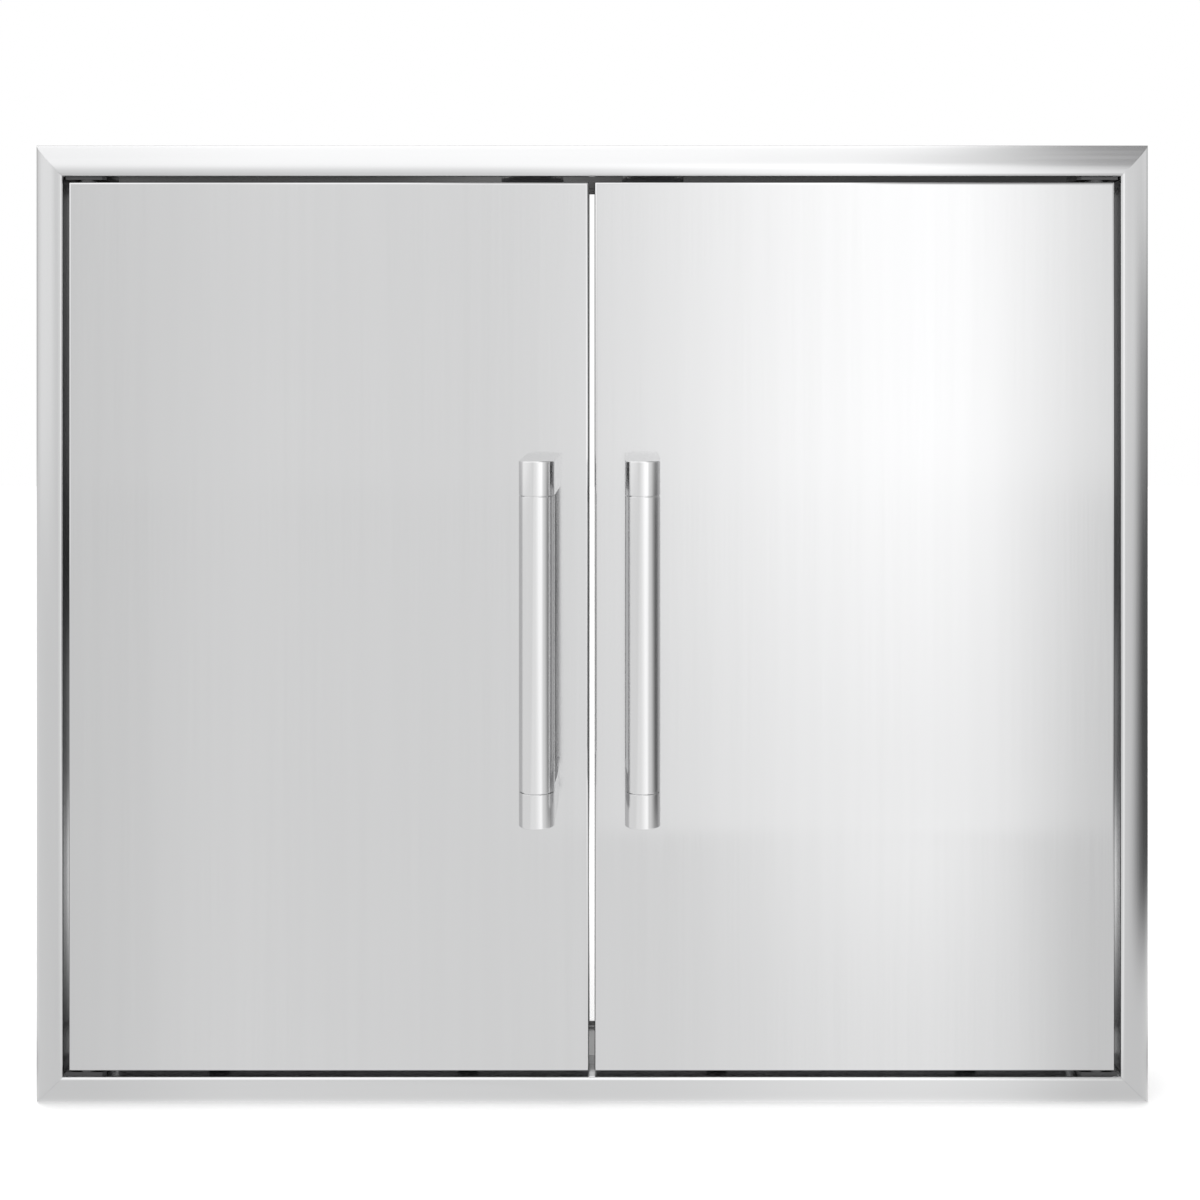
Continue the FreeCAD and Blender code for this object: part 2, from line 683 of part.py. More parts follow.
def bore_through(body, holes, radius, start, depth, forwards=False):
    """Bore holes along Y, away from the front unless forwards, each a pair of formulas."""
    sketch = sketch_on(body, "XZ_Plane", "-(%s)" % start)
    for x, z in holes:
        draw_circle(sketch, x, z, radius)
    pocket(body, sketch, depth, backwards=forwards)


HANDLE_SCREWS = (
    ("handle_x", "post_screw_z"),
    ("handle_x", "-2 * handle_drop - post_screw_z"),
)
STRIKE_RIVETS = (
    ("catch_x - rivet_pitch / 2", "strike_z"),
    ("catch_x + rivet_pitch / 2", "strike_z"),
)


def bore_for_bushes(body):
    """Bore the top and bottom flanges of a door pan for its hinge bushes."""
    for plane in ("door_half_height", "-door_half_height"):
        sketch = sketch_on(body, "XY_Plane", plane)
        draw_circle(sketch, "hinge_x", "hinge_y", "bush_radius")
        pocket(body, sketch, "8 * sheet", symmetric=True)


def hollow(body, open_side, thickness):
    """Shell a pan from the inside, leaving out the face that lies at open_side along Y."""
    level = size(open_side)
    face = next("Face%d" % number for number, side in enumerate(body.Shape.Faces, start=1)
                if abs(side.CenterOfMass.y - level) < 0.001)
    base = body.Tip
    feature = body.newObject("PartDesign::Thickness", body.Label + "_shell")
    feature.Base = (base, [face])
    feature.Mode = 0
    feature.Join = 0
    feature.Reversed = True
    feature.setExpression("Value", on_sheet(thickness))
    finish(body, feature)


def door_skin():
    """Draw the door's front pan: a rounded front with four flanges folded back."""
    body = new_body("left_door_skin")
    face = sketch_on(body, "XZ_Plane", "-door_back")
    draw_box(face, "-door_outer", "-door_inner", "-door_half_height", "door_half_height")
    pad(body, face, "door_thickness")
    dress(body, "Fillet", edges_at(body, y="door_front"), "skin_bend")
    hollow(body, "door_back", "sheet")
    bore_through(body, HANDLE_SCREWS, "handle_hole_radius", "door_front", "2 * sheet")
    bore_for_bushes(body)
    right_copy(keep(body))


def door_liner():
    """Draw the pan that closes the door's back, with the slot of the finger tab."""
    body = new_body("left_door_liner")
    face = sketch_on(body, "XZ_Plane", "-door_back")
    draw_box(face, "sheet - door_outer", "-door_inner - sheet",
             "sheet - door_half_height", "door_half_height - sheet")
    pad(body, face, "liner_flange")
    dress(body, "Fillet", edges_at(body, y="door_back"), "liner_bend")
    hollow(body, "door_back - liner_flange", "liner_sheet")
    bore_through(body, HANDLE_SCREWS, "handle_hole_radius", "liner_face", "liner_sheet")
    bore_through(body, STRIKE_RIVETS, "rivet_radius", "liner_face", "liner_sheet")
    bore_for_bushes(body)
    slot = sketch_on(body, "XZ_Plane", "-(liner_face)")
    half = "(pin_radius + slot_clearance)"
    draw_outline(slot, (
        ("hinge_x - " + half, "tab_z"),
        ("hinge_x - " + half, "tab_z - bolt_travel"),
        ("hinge_x + " + half, "tab_z - bolt_travel"),
        ("hinge_x + " + half, "tab_z"),
    ), {1: (None, 1), 3: (None, 1)})
    pocket(body, slot, "liner_sheet")
    right_copy(keep(body))


def door_stiffener():
    """Fold the hat channel that backs the handle, between the skin and the liner."""
    body = new_body("left_door_stiffener")
    half = "stiffener_width / 2"
    web = "door_front + sheet"
    outline = sketch_on(body, "XY_Plane", "-stiffener_height / 2")

    def corner(across, y):
        return ("handle_x + " + across, y)

    wall = "%s - liner_sheet" % half
    draw_outline(outline, (
        corner("(%s)" % half, web),
        corner("(%s)" % half, "liner_face - liner_sheet"),
        corner("(%s + stiffener_foot)" % half, "liner_face - liner_sheet"),
        corner("(%s + stiffener_foot)" % half, "liner_face"),
        corner("(%s)" % wall, "liner_face"),
        corner("(%s)" % wall, web + " + liner_sheet"),
        corner("-(%s)" % wall, web + " + liner_sheet"),
        corner("-(%s)" % wall, "liner_face"),
        corner("-(%s + stiffener_foot)" % half, "liner_face"),
        corner("-(%s + stiffener_foot)" % half, "liner_face - liner_sheet"),
        corner("-(%s)" % half, "liner_face - liner_sheet"),
        corner("-(%s)" % half, web),
    ))
    pad(body, outline, "stiffener_height")
    bore_through(body, HANDLE_SCREWS, "handle_hole_radius", "door_front", "4 * sheet")
    right_copy(keep(body))


# Handles

def handle_post():
    """Make the upper end post: a D-shaped block with a spigot for the tube, tapped at its foot."""
    body = new_body("left_handle_upper_post")
    left = "handle_x - handle_radius"
    right = "handle_x + handle_radius"
    outline = sketch_on(body, "XY_Plane", "handle_top")
    draw_outline(outline, (
        (right, "door_front"),
        (left, "door_front"),
        (left, "handle_y"),
        (right, "handle_y"),
    ), {2: (None, 1)})
    pad(body, outline, "post_height", backwards=True)
    spigot = sketch_on(body, "XY_Plane", "handle_top - post_height")
    draw_circle(spigot, "handle_x", "handle_y", "bore_radius - slip")
    pad(body, spigot, "spigot_length", backwards=True)
    bore_through(body, HANDLE_SCREWS[:1], "handle_screw_radius + slip", "door_front",
                 "handle_screw_grip + 2", forwards=True)
    keep(body)
    lower = mirrored("left_handle_lower_post", body, Z_AXIS, base="-handle_drop")
    right_copy(body)
    right_copy(lower)


def handle_tube():
    """Make the round bar between the two posts."""
    body = new_body("left_handle_tube")
    ring = sketch_on(body, "XY_Plane", "handle_top - post_height")
    draw_circle(ring, "handle_x", "handle_y", "handle_radius")
    draw_circle(ring, "handle_x", "handle_y", "bore_radius")
    pad(body, ring, "tube_length", backwards=True)
    right_copy(keep(body))


def hexagon(radius):
    """Work out the six corners of a hexagon round the origin, from its corner radius."""
    turns = [step * math.pi / 3 for step in range(6)]
    return [("%s * %.4f" % (radius, math.cos(turn)), "%s * %.4f" % (radius, math.sin(turn)))
            for turn in turns]


def handle_fasteners():
    """Make the screws and washers that hold a handle from the door's back."""
    screw = new_body("handle_screw")
    head = sketch_on(screw, "XY_Plane")
    draw_outline(head, hexagon("handle_head_radius"))
    pad(screw, head, "handle_head_height", backwards=True)
    shank = sketch_on(screw, "XY_Plane")
    draw_circle(shank, "0", "0", "handle_screw_radius")
    pad(screw, shank, "washer_height + door_thickness + handle_screw_grip")
    places = [(x, "door_back + washer_height", z) for x, z in HANDLE_SCREWS]
    towards_front = Rotation(X_AXIS, 90)
    right_copy(keep(group("left_handle_screws", screw, places, towards_front)))

    washer = new_body("handle_washer")
    ring = sketch_on(washer, "XY_Plane")
    draw_circle(ring, "0", "0", "washer_radius")
    draw_circle(ring, "0", "0", "handle_hole_radius")
    pad(washer, ring, "washer_height")
    right_copy(keep(group("left_handle_washers", washer, places, towards_front)))


# Catches

def catch_screws():
    """Set out the four pan-head screws that hold the catches up under the top rail."""
    screw = new_body("catch_screw")
    profile = sketch_on(screw, "XZ_Plane")
    draw_outline(profile, (
        ("0", "-small_head_height"),
        ("small_head_radius", "-small_head_height"),
        ("small_head_radius", "0"),
        ("small_screw_radius", "0"),
        ("small_screw_radius", "small_screw_length"),
        ("0", "small_screw_length"),
    ))
    spin(screw, profile)
    places = [place + ("half_height - catch_base_height",) for place in CATCH_SCREWS]
    keep(group("catch_screws", screw, places))


def catch():
    """Make the magnetic catch: housing with two ears, magnet and two pole plates."""
    housing = new_body("left_catch_housing")
    back = "catch_front + catch_depth"
    underside = "half_height - catch_base_height"
    base = sketch_on(housing, "XY_Plane", underside)
    draw_box(base, "catch_x - catch_base_length / 2", "catch_x + catch_base_length / 2",
             "catch_front", back)
    pad(housing, base, "catch_base_height")
    for end in ("catch_x - catch_base_length / 2", "catch_x + catch_base_length / 2"):
        dress(housing, "Chamfer", edges_at(housing, x=end, y="catch_front")
              + edges_at(housing, x=end, y=back), "plate_corner")
    block = sketch_on(housing, "XY_Plane", underside)
    draw_box(block, "catch_x - catch_length / 2", "catch_x + catch_length / 2", "catch_front", back)
    pad(housing, block, "catch_height - catch_base_height", backwards=True)
    dress(housing, "Fillet", edges_at(housing, y="catch_front", z="catch_floor")
          + edges_at(housing, y=back, z="catch_floor"), "catch_wall / 2")
    cavity = sketch_on(housing, "XZ_Plane", "-catch_front")
    draw_box(cavity, "catch_x - pole_length / 2 - slip", "catch_x + pole_length / 2 + slip",
             "pole_floor - slip", "pole_floor + 2 * pole_height + magnet_height + slip")
    pocket(housing, cavity, "pole_front + pole_depth - catch_front + slip")
    holes = sketch_on(housing, "XY_Plane", underside)
    for along, depth in CATCH_SCREWS[:2]:
        draw_circle(holes, along, depth, "small_screw_radius + slip")
    pocket(housing, holes, "catch_base_height", backwards=True)
    right_copy(keep(housing))

    magnet = new_body("left_catch_magnet")
    core = sketch_on(magnet, "XY_Plane", "pole_floor + pole_height")
    draw_box(core, "catch_x - pole_length / 2", "catch_x + pole_length / 2",
             "pole_front + magnet_setback", "pole_front + pole_depth")
    pad(magnet, core, "magnet_height")
    right_copy(keep(magnet))

    pole = new_body("pole_plate")
    plate = sketch_on(pole, "XY_Plane")
    draw_box(plate, "-pole_length / 2", "pole_length / 2", "0", "pole_depth")
    pad(pole, plate, "pole_height")
    places = [("catch_x", "pole_front", level)
              for level in ("pole_floor", "pole_floor + pole_height + magnet_height")]
    right_copy(keep(group("left_catch_poles", pole, places)))


def strike():
    """Make the steel plate on the door's back that the catch holds, and its rivets."""
    plate = new_body("left_strike_plate")
    outline = sketch_on(plate, "XZ_Plane", "-door_back")
    left = "catch_x - strike_length / 2"
    right = "catch_x + strike_length / 2"
    draw_box(outline, left, right, "strike_top - strike_height", "strike_top")
    pad(plate, outline, "strike_sheet", backwards=True)
    for x in (left, right):
        for z in ("strike_top - strike_height", "strike_top"):
            dress(plate, "Chamfer", edges_at(plate, x=x, z=z), "plate_corner")
    bore_through(plate, STRIKE_RIVETS, "rivet_radius", "door_back", "strike_sheet")
    right_copy(keep(plate))

    rivet = new_body("strike_rivet")
    profile = sketch_on(rivet, "XZ_Plane")
    draw_outline(profile, (
        ("0", "-rivet_head_height"),
        ("rivet_head_radius", "-rivet_head_height"),
        ("rivet_head_radius", "0"),
        ("rivet_radius", "0"),
        ("rivet_radius", "rivet_length"),
        ("0", "rivet_length"),
    ))
    spin(rivet, profile)
    places = [(x, "door_back + strike_sheet", z) for x, z in STRIKE_RIVETS]
    right_copy(keep(group("left_strike_rivets", rivet, places, Rotation(X_AXIS, 90))))


# Checking and writing

def check_everything():
    """Refuse an object that failed and a sub-part that isn't sound."""
    for thing in doc.Objects:
        if "Invalid" in thing.State or "Error" in thing.State:
            raise RuntimeError("%s is in state %s" % (thing.Label, thing.State))
    for part in sub_parts:
        if part.Shape.isNull() or not part.Shape.isValid():
            raise RuntimeError("%s has no sound shape" % part.Label)


def write_sub_parts():
    """Write one STEP file for each sub-part."""
    for part in sub_parts:
        part.Shape.exportStep("parts/%s.step" % part.Label)
        box = part.Shape.BoundBox
        print("%-26s %2d solid(s) %8.1f mm3  x %.2f..%.2f  y %.2f..%.2f  z %.2f..%.2f" % (
            part.Label, len(part.Shape.Solids), part.Shape.Volume,
            box.XMin, box.XMax, box.YMin, box.YMax, box.ZMin, box.ZMax))


fill_sheet()
frame()
door_stop()
stop_pads()
hinges()
bush()
hinge_bolt()
bolt_guide()
bolt_spring()
door_skin()
door_liner()
door_stiffener()
handle_post()
handle_tube()
handle_fasteners()
catch_screws()
catch()
strike()
doc.recompute()
check_everything()
write_sub_parts()
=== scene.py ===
"""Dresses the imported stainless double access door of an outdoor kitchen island.

Metres, in the CAD's frame: +X is right seen from the front, -Y points at the user, +Z is up,
and the origin is the centre of the wall cut-out, on the wall's face.
"""
import logging
import math
from collections.abc import Callable
from dataclasses import dataclass, field
from enum import Enum

import bmesh
import bpy
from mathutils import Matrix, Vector


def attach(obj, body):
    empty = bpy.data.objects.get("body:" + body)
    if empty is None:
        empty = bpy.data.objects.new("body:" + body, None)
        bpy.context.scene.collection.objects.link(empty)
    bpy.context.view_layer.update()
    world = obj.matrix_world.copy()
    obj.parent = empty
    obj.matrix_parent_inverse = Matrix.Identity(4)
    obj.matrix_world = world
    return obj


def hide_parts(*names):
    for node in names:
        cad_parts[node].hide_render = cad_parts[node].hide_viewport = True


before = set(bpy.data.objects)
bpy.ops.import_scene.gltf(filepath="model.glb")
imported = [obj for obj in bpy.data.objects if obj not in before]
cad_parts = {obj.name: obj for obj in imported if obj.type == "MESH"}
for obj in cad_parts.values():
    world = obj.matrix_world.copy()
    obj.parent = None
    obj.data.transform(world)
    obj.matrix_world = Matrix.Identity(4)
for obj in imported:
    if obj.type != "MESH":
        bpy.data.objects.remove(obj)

log = logging.getLogger("access_door")

Triple = tuple[float, float, float]
"""X, Y and Z."""

Colour = tuple[float, float, float]
"""Red, green and blue, from 0 to 1."""

Socket = bpy.types.NodeSocket
"""A node's output."""

Signal = Socket | float
"""A number, or the output that carries one."""

PlaceTest = Callable[[Vector], bool]
"""Says whether a place is wanted."""

EdgeTest = Callable[[Vector, Vector], bool]
"""Says whether the edge between two places is wanted."""

TOUCH = 0.00002
"""How near two places count as the same one."""

HOLE_SIDES = 40
"""Facets round a bored hole."""

CUTTER_LENGTH = 0.01
"""Length of a hole's cutter, well past the sheet on both sides."""

FLOOR_Z = -0.3386
"""Height of the floor, just under the bezel."""

FLAG_WAY = (0.906, 0.423, 0.0)
"""The way to the middle of the dark flag, to the right and a little behind."""

WHITE = (1.0, 1.0, 1.0, 1.0)
"""Plain white, as a shader's colour."""


class Side(Enum):
    """The two doors, each with the sign of its X."""

    LEFT = -1
    RIGHT = 1

    @property
    def word(self) -> str:
        """The side's name as it starts a node's name."""
        return self.name.lower()


class Grain(Enum):
    """Which way a brushed finish runs, as the axis it follows."""

    ALONG_X = 0
    ALONG_Z = 2

    def stretched(self, across: float, along: float) -> Triple:
        """Pattern cells per metre for X, Y and Z, from those across the grain and along it."""
        return tuple(along if axis == self.value else across for axis in range(3))


@dataclass(frozen=True)
class Fade:
    """A smooth run from one value to another, while the number it reads goes from low to high."""

    low: float
    high: float
    at_low: float
    at_high: float

    @classmethod
    def about(cls, middle: float, share: float, reach: float = 0.2) -> "Fade":
        """The fade that spreads a noise about one half over a share to both sides of a middle."""
        return cls(0.5 - reach, 0.5 + reach, middle - share, middle + share)


class NodeBoard:
    """A node tree with short calls for adding a node and wiring it up."""

    def __init__(self, tree: bpy.types.NodeTree) -> None:
        """Takes the node tree of a material or a world, and empties it."""
        self.tree = tree
        tree.nodes.clear()

    def add(self, kind: str, settings: dict[str, str] | None = None, **inputs: object) -> bpy.types.Node:
        """Adds one node.

        Args:
            kind: the node's type name, without the leading ShaderNode.
            settings: properties of the node itself.
            inputs: its sockets by name, with _ for a space, each a value or another socket.

        Returns:
            The new node.
        """
        node = self.tree.nodes.new("ShaderNode" + kind)
        for name, value in (settings or {}).items():
            setattr(node, name, value)
        for name, value in inputs.items():
            self.feed(node, name.replace("_", " "), value)
        return node

    def feed(self, node: bpy.types.Node, name: str | int, value: object) -> None:
        """Sets one input of a node, or wires another node's output to it.

        Args:
            node: the node.
            name: the input's name, or its place among the inputs.
            value: the value, or the other node's output.
        """
        socket = node.inputs[name]
        if isinstance(value, Socket):
            self.tree.links.new(value, socket)
        else:
            socket.default_value = value

    def math(self, operation: str, first: Signal, second: Signal = 0.0) -> Socket:
        """Works out one operation on two numbers.

        Args:
            operation: the operation's name.
            first: the first number.
            second: the second number.

        Returns:
            The output socket.
        """
        node = self.add("Math", {"operation": operation})
        self.feed(node, 0, first)
        self.feed(node, 1, second)
        return node.outputs[0]

    def times(self, *factors: Signal) -> Socket:
        """Multiplies numbers.

        Args:
            factors: two numbers or more.

        Returns:
            The output socket.
        """
        product = factors[0]
        for factor in factors[1:]:
            product = self.math("MULTIPLY", product, factor)
        return product

    def plus(self, first: Signal, second: Signal) -> Socket:
        """Adds two numbers."""
        return self.math("ADD", first, second)

    def without(self, share: Signal) -> Socket:
        """What a share leaves of one."""
        return self.math("SUBTRACT", 1.0, share)

    def faded(self, value: Socket, fade: Fade) -> Socket:
        """Runs a number smoothly from one value to another.

        Args:
            value: the socket to read.
            fade: where the run starts and ends, and its values there.

        Returns:
            The output socket.
        """
        node = self.add("MapRange", {"interpolation_type": "SMOOTHSTEP"}, Value=value,
                        From_Min=fade.low, From_Max=fade.high, To_Min=fade.at_low, To_Max=fade.at_high)
        return node.outputs[0]

    def hump(self, value: Socket, low: float, peak: float, high: float) -> Socket:
        """Rises smoothly from 0 at low to 1 at peak, and falls back to 0 at high."""
        return self.times(self.faded(value, Fade(low, peak, 0.0, 1.0)),
                          self.faded(value, Fade(peak, high, 1.0, 0.0)))

    def vector(self, operation: str, first: Socket | Triple,
               second: Triple = (0.0, 0.0, 0.0)) -> bpy.types.Node:
        """Works out one operation on two vectors.

        Args:
            operation: the operation's name.
            first: the first vector.
            second: the second vector.

        Returns:
            The node.
        """
        node = self.add("VectorMath", {"operation": operation})
        self.feed(node, 0, first)
        self.feed(node, 1, second)
        return node

    def noise(self, density: Triple, detail: float = 2.0) -> Socket:
        """A noise in the object's own coordinates.

        Args:
            density: pattern cells per metre along X, Y and Z.
            detail: how many finer layers it holds.

        Returns:
            The noise's factor, about one half.
        """
        place = self.add("TexCoord").outputs["Object"]
        stretched = self.add("Mapping", Vector=place, Scale=density).outputs[0]
        return self.add("TexNoise", Vector=stretched, Scale=1.0, Detail=detail).outputs[0]

    def even_noise(self, per_metre: float, detail: float = 2.0) -> Socket:
        """A noise of the same density all ways."""
        return self.noise((per_metre,) * 3, detail)

    def tinted(self, colour: Colour, strength: Signal) -> Socket:
        """Makes a colour lighter or darker.

        Args:
            colour: the colour.
            strength: what it is multiplied by.

        Returns:
            The output socket.
        """
        node = self.vector("SCALE", colour)
        self.feed(node, "Scale", strength)
        return node.outputs[0]

    def relief(self, height: Socket, depth: float, strength: float = 1.0) -> Socket:
        """The surface's normal over a relief of a real depth, of which a share shows."""
        return self.add("Bump", Height=height, Strength=strength, Distance=depth).outputs[0]

    def looked_at(self) -> Socket:
        """1 for the camera's own rays and for those that have gone through something, else 0."""
        rays = self.add("LightPath").outputs
        return self.math("MAXIMUM", rays["Is Camera Ray"], rays["Is Transmission Ray"])

    def both(self, first: bpy.types.Node, second: bpy.types.Node) -> bpy.types.Node:
        """Adds two shaders.

        Args:
            first: the first shader's node.
            second: the second one's.

        Returns:
            The node of the sum.
        """
        node = self.add("AddShader")
        self.feed(node, 0, first.outputs[0])
        self.feed(node, 1, second.outputs[0])
        return node

    def surface(self, shader: bpy.types.Node) -> None:
        """Makes a shader the material's surface."""
        self.add("OutputMaterial", Surface=shader.outputs[0])


def new_material(name: str) -> tuple[bpy.types.Material, NodeBoard]:
    """Makes an empty material.

    Args:
        name: its name.

    Returns:
        The material, and the board that its nodes are laid out on.
    """
    material = bpy.data.materials.new(name)
    material.use_nodes = True
    return material, NodeBoard(material.node_tree)


def put_on(piece: bpy.types.Object, material: bpy.types.Material) -> None:
    """Gives a piece its material, through the object's own slots so that its mesh isn't touched.

    Args:
        piece: the object.
        material: its finish.
    """
    if not piece.material_slots:
        piece.data.materials.append(material)
    for slot in piece.material_slots:
        slot.link = "OBJECT"
        slot.material = material


@dataclass(frozen=True)
class BrushedSteel:
    """Satin stainless steel: fine scratches all one way over slow changes of polish."""

    name: str
    grain: Grain
    tone: Colour = (0.617, 0.618, 0.622)
    roughness: float = 0.10
    scratch_depth: float = 0.000001
    scratches_across: float = 900.0
    scratches_along: float = 9.0
    streaks_across: float = 120.0
    streaks_along: float = 1.6
    patches_per_metre: float = 5.0
    streak_share: float = 0.006
    polish_share: float = 0.02

    def mixed(self) -> bpy.types.Material:
        """Lays out the finish's nodes.

        Returns:
            The material.
        """
        material, board = new_material(self.name)
        scratches = board.noise(self.grain.stretched(self.scratches_across, self.scratches_along),
                                detail=3.0)
        streaks = board.noise(self.grain.stretched(self.streaks_across, self.streaks_along))
        patches = board.even_noise(self.patches_per_metre)
        lightness = board.plus(board.faded(scratches, Fade.about(1.0, self.streak_share)),
                               board.faded(streaks, Fade.about(0.0, self.streak_share)))
        roughness = board.plus(board.faded(scratches, Fade.about(self.roughness, self.polish_share)),
                               board.faded(patches, Fade.about(0.0, self.polish_share, reach=0.15)))
        board.surface(board.add("BsdfPrincipled", Metallic=1.0, Roughness=roughness,
                                Base_Color=board.tinted(self.tone, lightness),
                                Normal=board.relief(scratches, self.scratch_depth)))
        return material


@dataclass(frozen=True)
class MillSheet:
    """Plain rolled stainless sheet, cloudy and without a brushed grain."""

    name: str = "mill_sheet"
    tone: Colour = (0.62, 0.62, 0.615)
    roughness: float = 0.5
    clouds_per_metre: float = 28.0
    cloud_share: float = 0.03
    cloud_polish: float = 0.02
    grit_per_metre: float = 1400.0
    grit_depth: float = 0.00001
    grit_strength: float = 0.6

    def mixed(self) -> bpy.types.Material:
        """Lays out the finish's nodes.

        Returns:
            The material.
        """
        material, board = new_material(self.name)
        clouds = board.even_noise(self.clouds_per_metre, detail=4.0)
        grit = board.even_noise(self.grit_per_metre)
        lightness = board.faded(clouds, Fade.about(1.0, self.cloud_share))
        roughness = board.faded(clouds, Fade.about(self.roughness, self.cloud_polish))
        board.surface(board.add("BsdfPrincipled", Metallic=1.0, Roughness=roughness,
                                Base_Color=board.tinted(self.tone, lightness),
                                Normal=board.relief(grit, self.grit_depth, self.grit_strength)))
        return material


@dataclass(frozen=True)
class BrightFastener:
    """Turned and tumbled stainless steel: smooth, with faint tool marks and handling wear."""

    name: str = "bright_fastener"
    tone: Colour = (0.6, 0.6, 0.59)
    marks_per_metre: Triple = (500.0, 500.0, 2500.0)
    mark_depth: float = 0.000008
    mark_strength: float = 0.5
    wear_per_metre: float = 180.0
    lightness: Fade = Fade(0.35, 0.65, 0.92, 1.04)
    roughness: Fade = Fade(0.35, 0.65, 0.15, 0.29)

    def mixed(self) -> bpy.types.Material:
        """Lays out the finish's nodes.

        Returns:
            The material.
        """
        material, board = new_material(self.name)
        marks = board.noise(self.marks_per_metre)
        wear = board.even_noise(self.wear_per_metre, detail=3.0)
        board.surface(board.add("BsdfPrincipled", Metallic=1.0,
                                Base_Color=board.tinted(self.tone, board.faded(wear, self.lightness)),
                                Roughness=board.faded(wear, self.roughness),
                                Normal=board.relief(marks, self.mark_depth, self.mark_strength)))
        return material


@dataclass(frozen=True)
class Moulded:
    """A matt moulded or sintered material: plastic, nylon, rubber or ferrite."""

    name: str
    tone: Colour
    roughness: float
    pimples_per_metre: float = 1600.0
    pimple_height: float = 0.00002
    pimple_strength: float = 0.7
    mottle_per_metre: float = 90.0
    mottle_share: float = 0.08
    mottle_polish: float = 0.06

    def mixed(self) -> bpy.types.Material:
        """Lays out the finish's nodes.

        Returns:
            The material.
        """
        material, board = new_material(self.name)
        pimples = board.even_noise(self.pimples_per_metre, detail=1.0)
        mottle = board.even_noise(self.mottle_per_metre, detail=3.0)
        lightness = board.faded(mottle, Fade.about(1.0, self.mottle_share))
        roughness = board.faded(mottle, Fade.about(self.roughness, self.mottle_polish))
        board.surface(board.add("BsdfPrincipled", Roughness=roughness,
                                Base_Color=board.tinted(self.tone, lightness),
                                Normal=board.relief(pimples, self.pimple_height, self.pimple_strength)))
        return material


@dataclass
class Finishes:
    """Every finish of the object, mixed once and shared by its pieces."""

    skin: bpy.types.Material = field(init=False)
    upright_rail: bpy.types.Material = field(init=False)
    level_rail: bpy.types.Material = field(init=False)
    handle: bpy.types.Material = field(init=False)
    sheet: bpy.types.Material = field(init=False)
    sleeve_in_painted_shade: bpy.types.Material = field(init=False)
    hinge: bpy.types.Material = field(init=False)
    fastener: bpy.types.Material = field(init=False)
    nylon: bpy.types.Material = field(init=False)
    grey_plastic: bpy.types.Material = field(init=False)
    ferrite: bpy.types.Material = field(init=False)
    rubber: bpy.types.Material = field(init=False)

    def mix(self) -> None:
        """Makes the materials."""
        self.skin = BrushedSteel("door_steel", Grain.ALONG_Z).mixed()
        self.upright_rail = BrushedSteel("upright_rail_steel", Grain.ALONG_Z, roughness=0.22).mixed()
        self.level_rail = BrushedSteel("level_rail_steel", Grain.ALONG_X, roughness=0.22).mixed()
        self.handle = BrushedSteel("handle_steel", Grain.ALONG_Z, tone=(0.7, 0.7, 0.704),
                                   roughness=0.14).mixed()
        self.sheet = MillSheet().mixed()
        # Painted shade: the box's sheet is darkened to stand in for the shade inside the reveals round
        # the doors.
        self.sleeve_in_painted_shade = MillSheet("sleeve_sheet_painted_shade", tone=(0.33, 0.33, 0.33), roughness=0.34).mixed()
        # Painted shade: the hinge plates' sheet is darkened nearly to black to stand in for the shade of
        # the top reveal they sit in.
        self.hinge = MillSheet("hinge_sheet_painted_shade", tone=(0.1, 0.1, 0.102), roughness=0.45).mixed()
        self.fastener = BrightFastener().mixed()
        # The bushes' nylon is nearly black: a real nylon colour, and also painted shade for the top
        # reveal they sit in.
        self.nylon = Moulded("nylon", (0.05, 0.05, 0.052), 0.42).mixed()
        self.grey_plastic = Moulded("grey_plastic", (0.11, 0.11, 0.115), 0.5).mixed()
        self.ferrite = Moulded("ferrite", (0.035, 0.034, 0.033), 0.6, mottle_share=0.15).mixed()
        self.rubber = Moulded("rubber", (0.018, 0.018, 0.018), 0.75).mixed()


def deselect_all() -> None:
    """Leaves nothing selected."""
    for piece in bpy.context.selected_objects:
        piece.select_set(False)


def work_on(piece: bpy.types.Object) -> None:
    """Makes a piece the only one selected, and the active one.

    Args:
        piece: the object.
    """
    deselect_all()
    piece.select_set(True)
    bpy.context.view_layer.objects.active = piece


def pick_faces(piece: bpy.types.Object, wanted: PlaceTest) -> None:
    """Selects faces in edit mode.

    Args:
        piece: the object being edited.
        wanted: takes a face's middle, and says whether to select it.
    """
    bpy.ops.mesh.select_mode(type="FACE")
    bpy.ops.mesh.select_all(action="DESELECT")
    mesh = bmesh.from_edit_mesh(piece.data)
    for face in mesh.faces:
        face.select_set(wanted(face.calc_center_median()))
    bmesh.update_edit_mesh(piece.data)


def pick_edges(piece: bpy.types.Object, wanted: EdgeTest) -> None:
    """Selects edges in edit mode.

    Args:
        piece: the object being edited.
        wanted: takes an edge's two ends, and says whether to select it.
    """
    bpy.ops.mesh.select_mode(type="EDGE")
    bpy.ops.mesh.select_all(action="DESELECT")
    mesh = bmesh.from_edit_mesh(piece.data)
    for edge in mesh.edges:
        edge.select_set(wanted(edge.verts[0].co, edge.verts[1].co))
    bmesh.update_edit_mesh(piece.data)


def pick_points(piece: bpy.types.Object, wanted: PlaceTest) -> None:
    """Selects points in edit mode.

    Args:
        piece: the object being edited.
        wanted: takes a point's place, and says whether to select it.
    """
    bpy.ops.mesh.select_mode(type="VERT")
    bpy.ops.mesh.select_all(action="DESELECT")
    mesh = bmesh.from_edit_mesh(piece.data)
    for point in mesh.verts:
        point.select_set(wanted(point.co))
    mesh.select_flush(True)
    bmesh.update_edit_mesh(piece.data)


def pull(step: Triple) -> None:
    """Extrudes what is selected in edit mode by a step."""
    bpy.ops.mesh.extrude_region_move(TRANSFORM_OT_translate={"value": step})


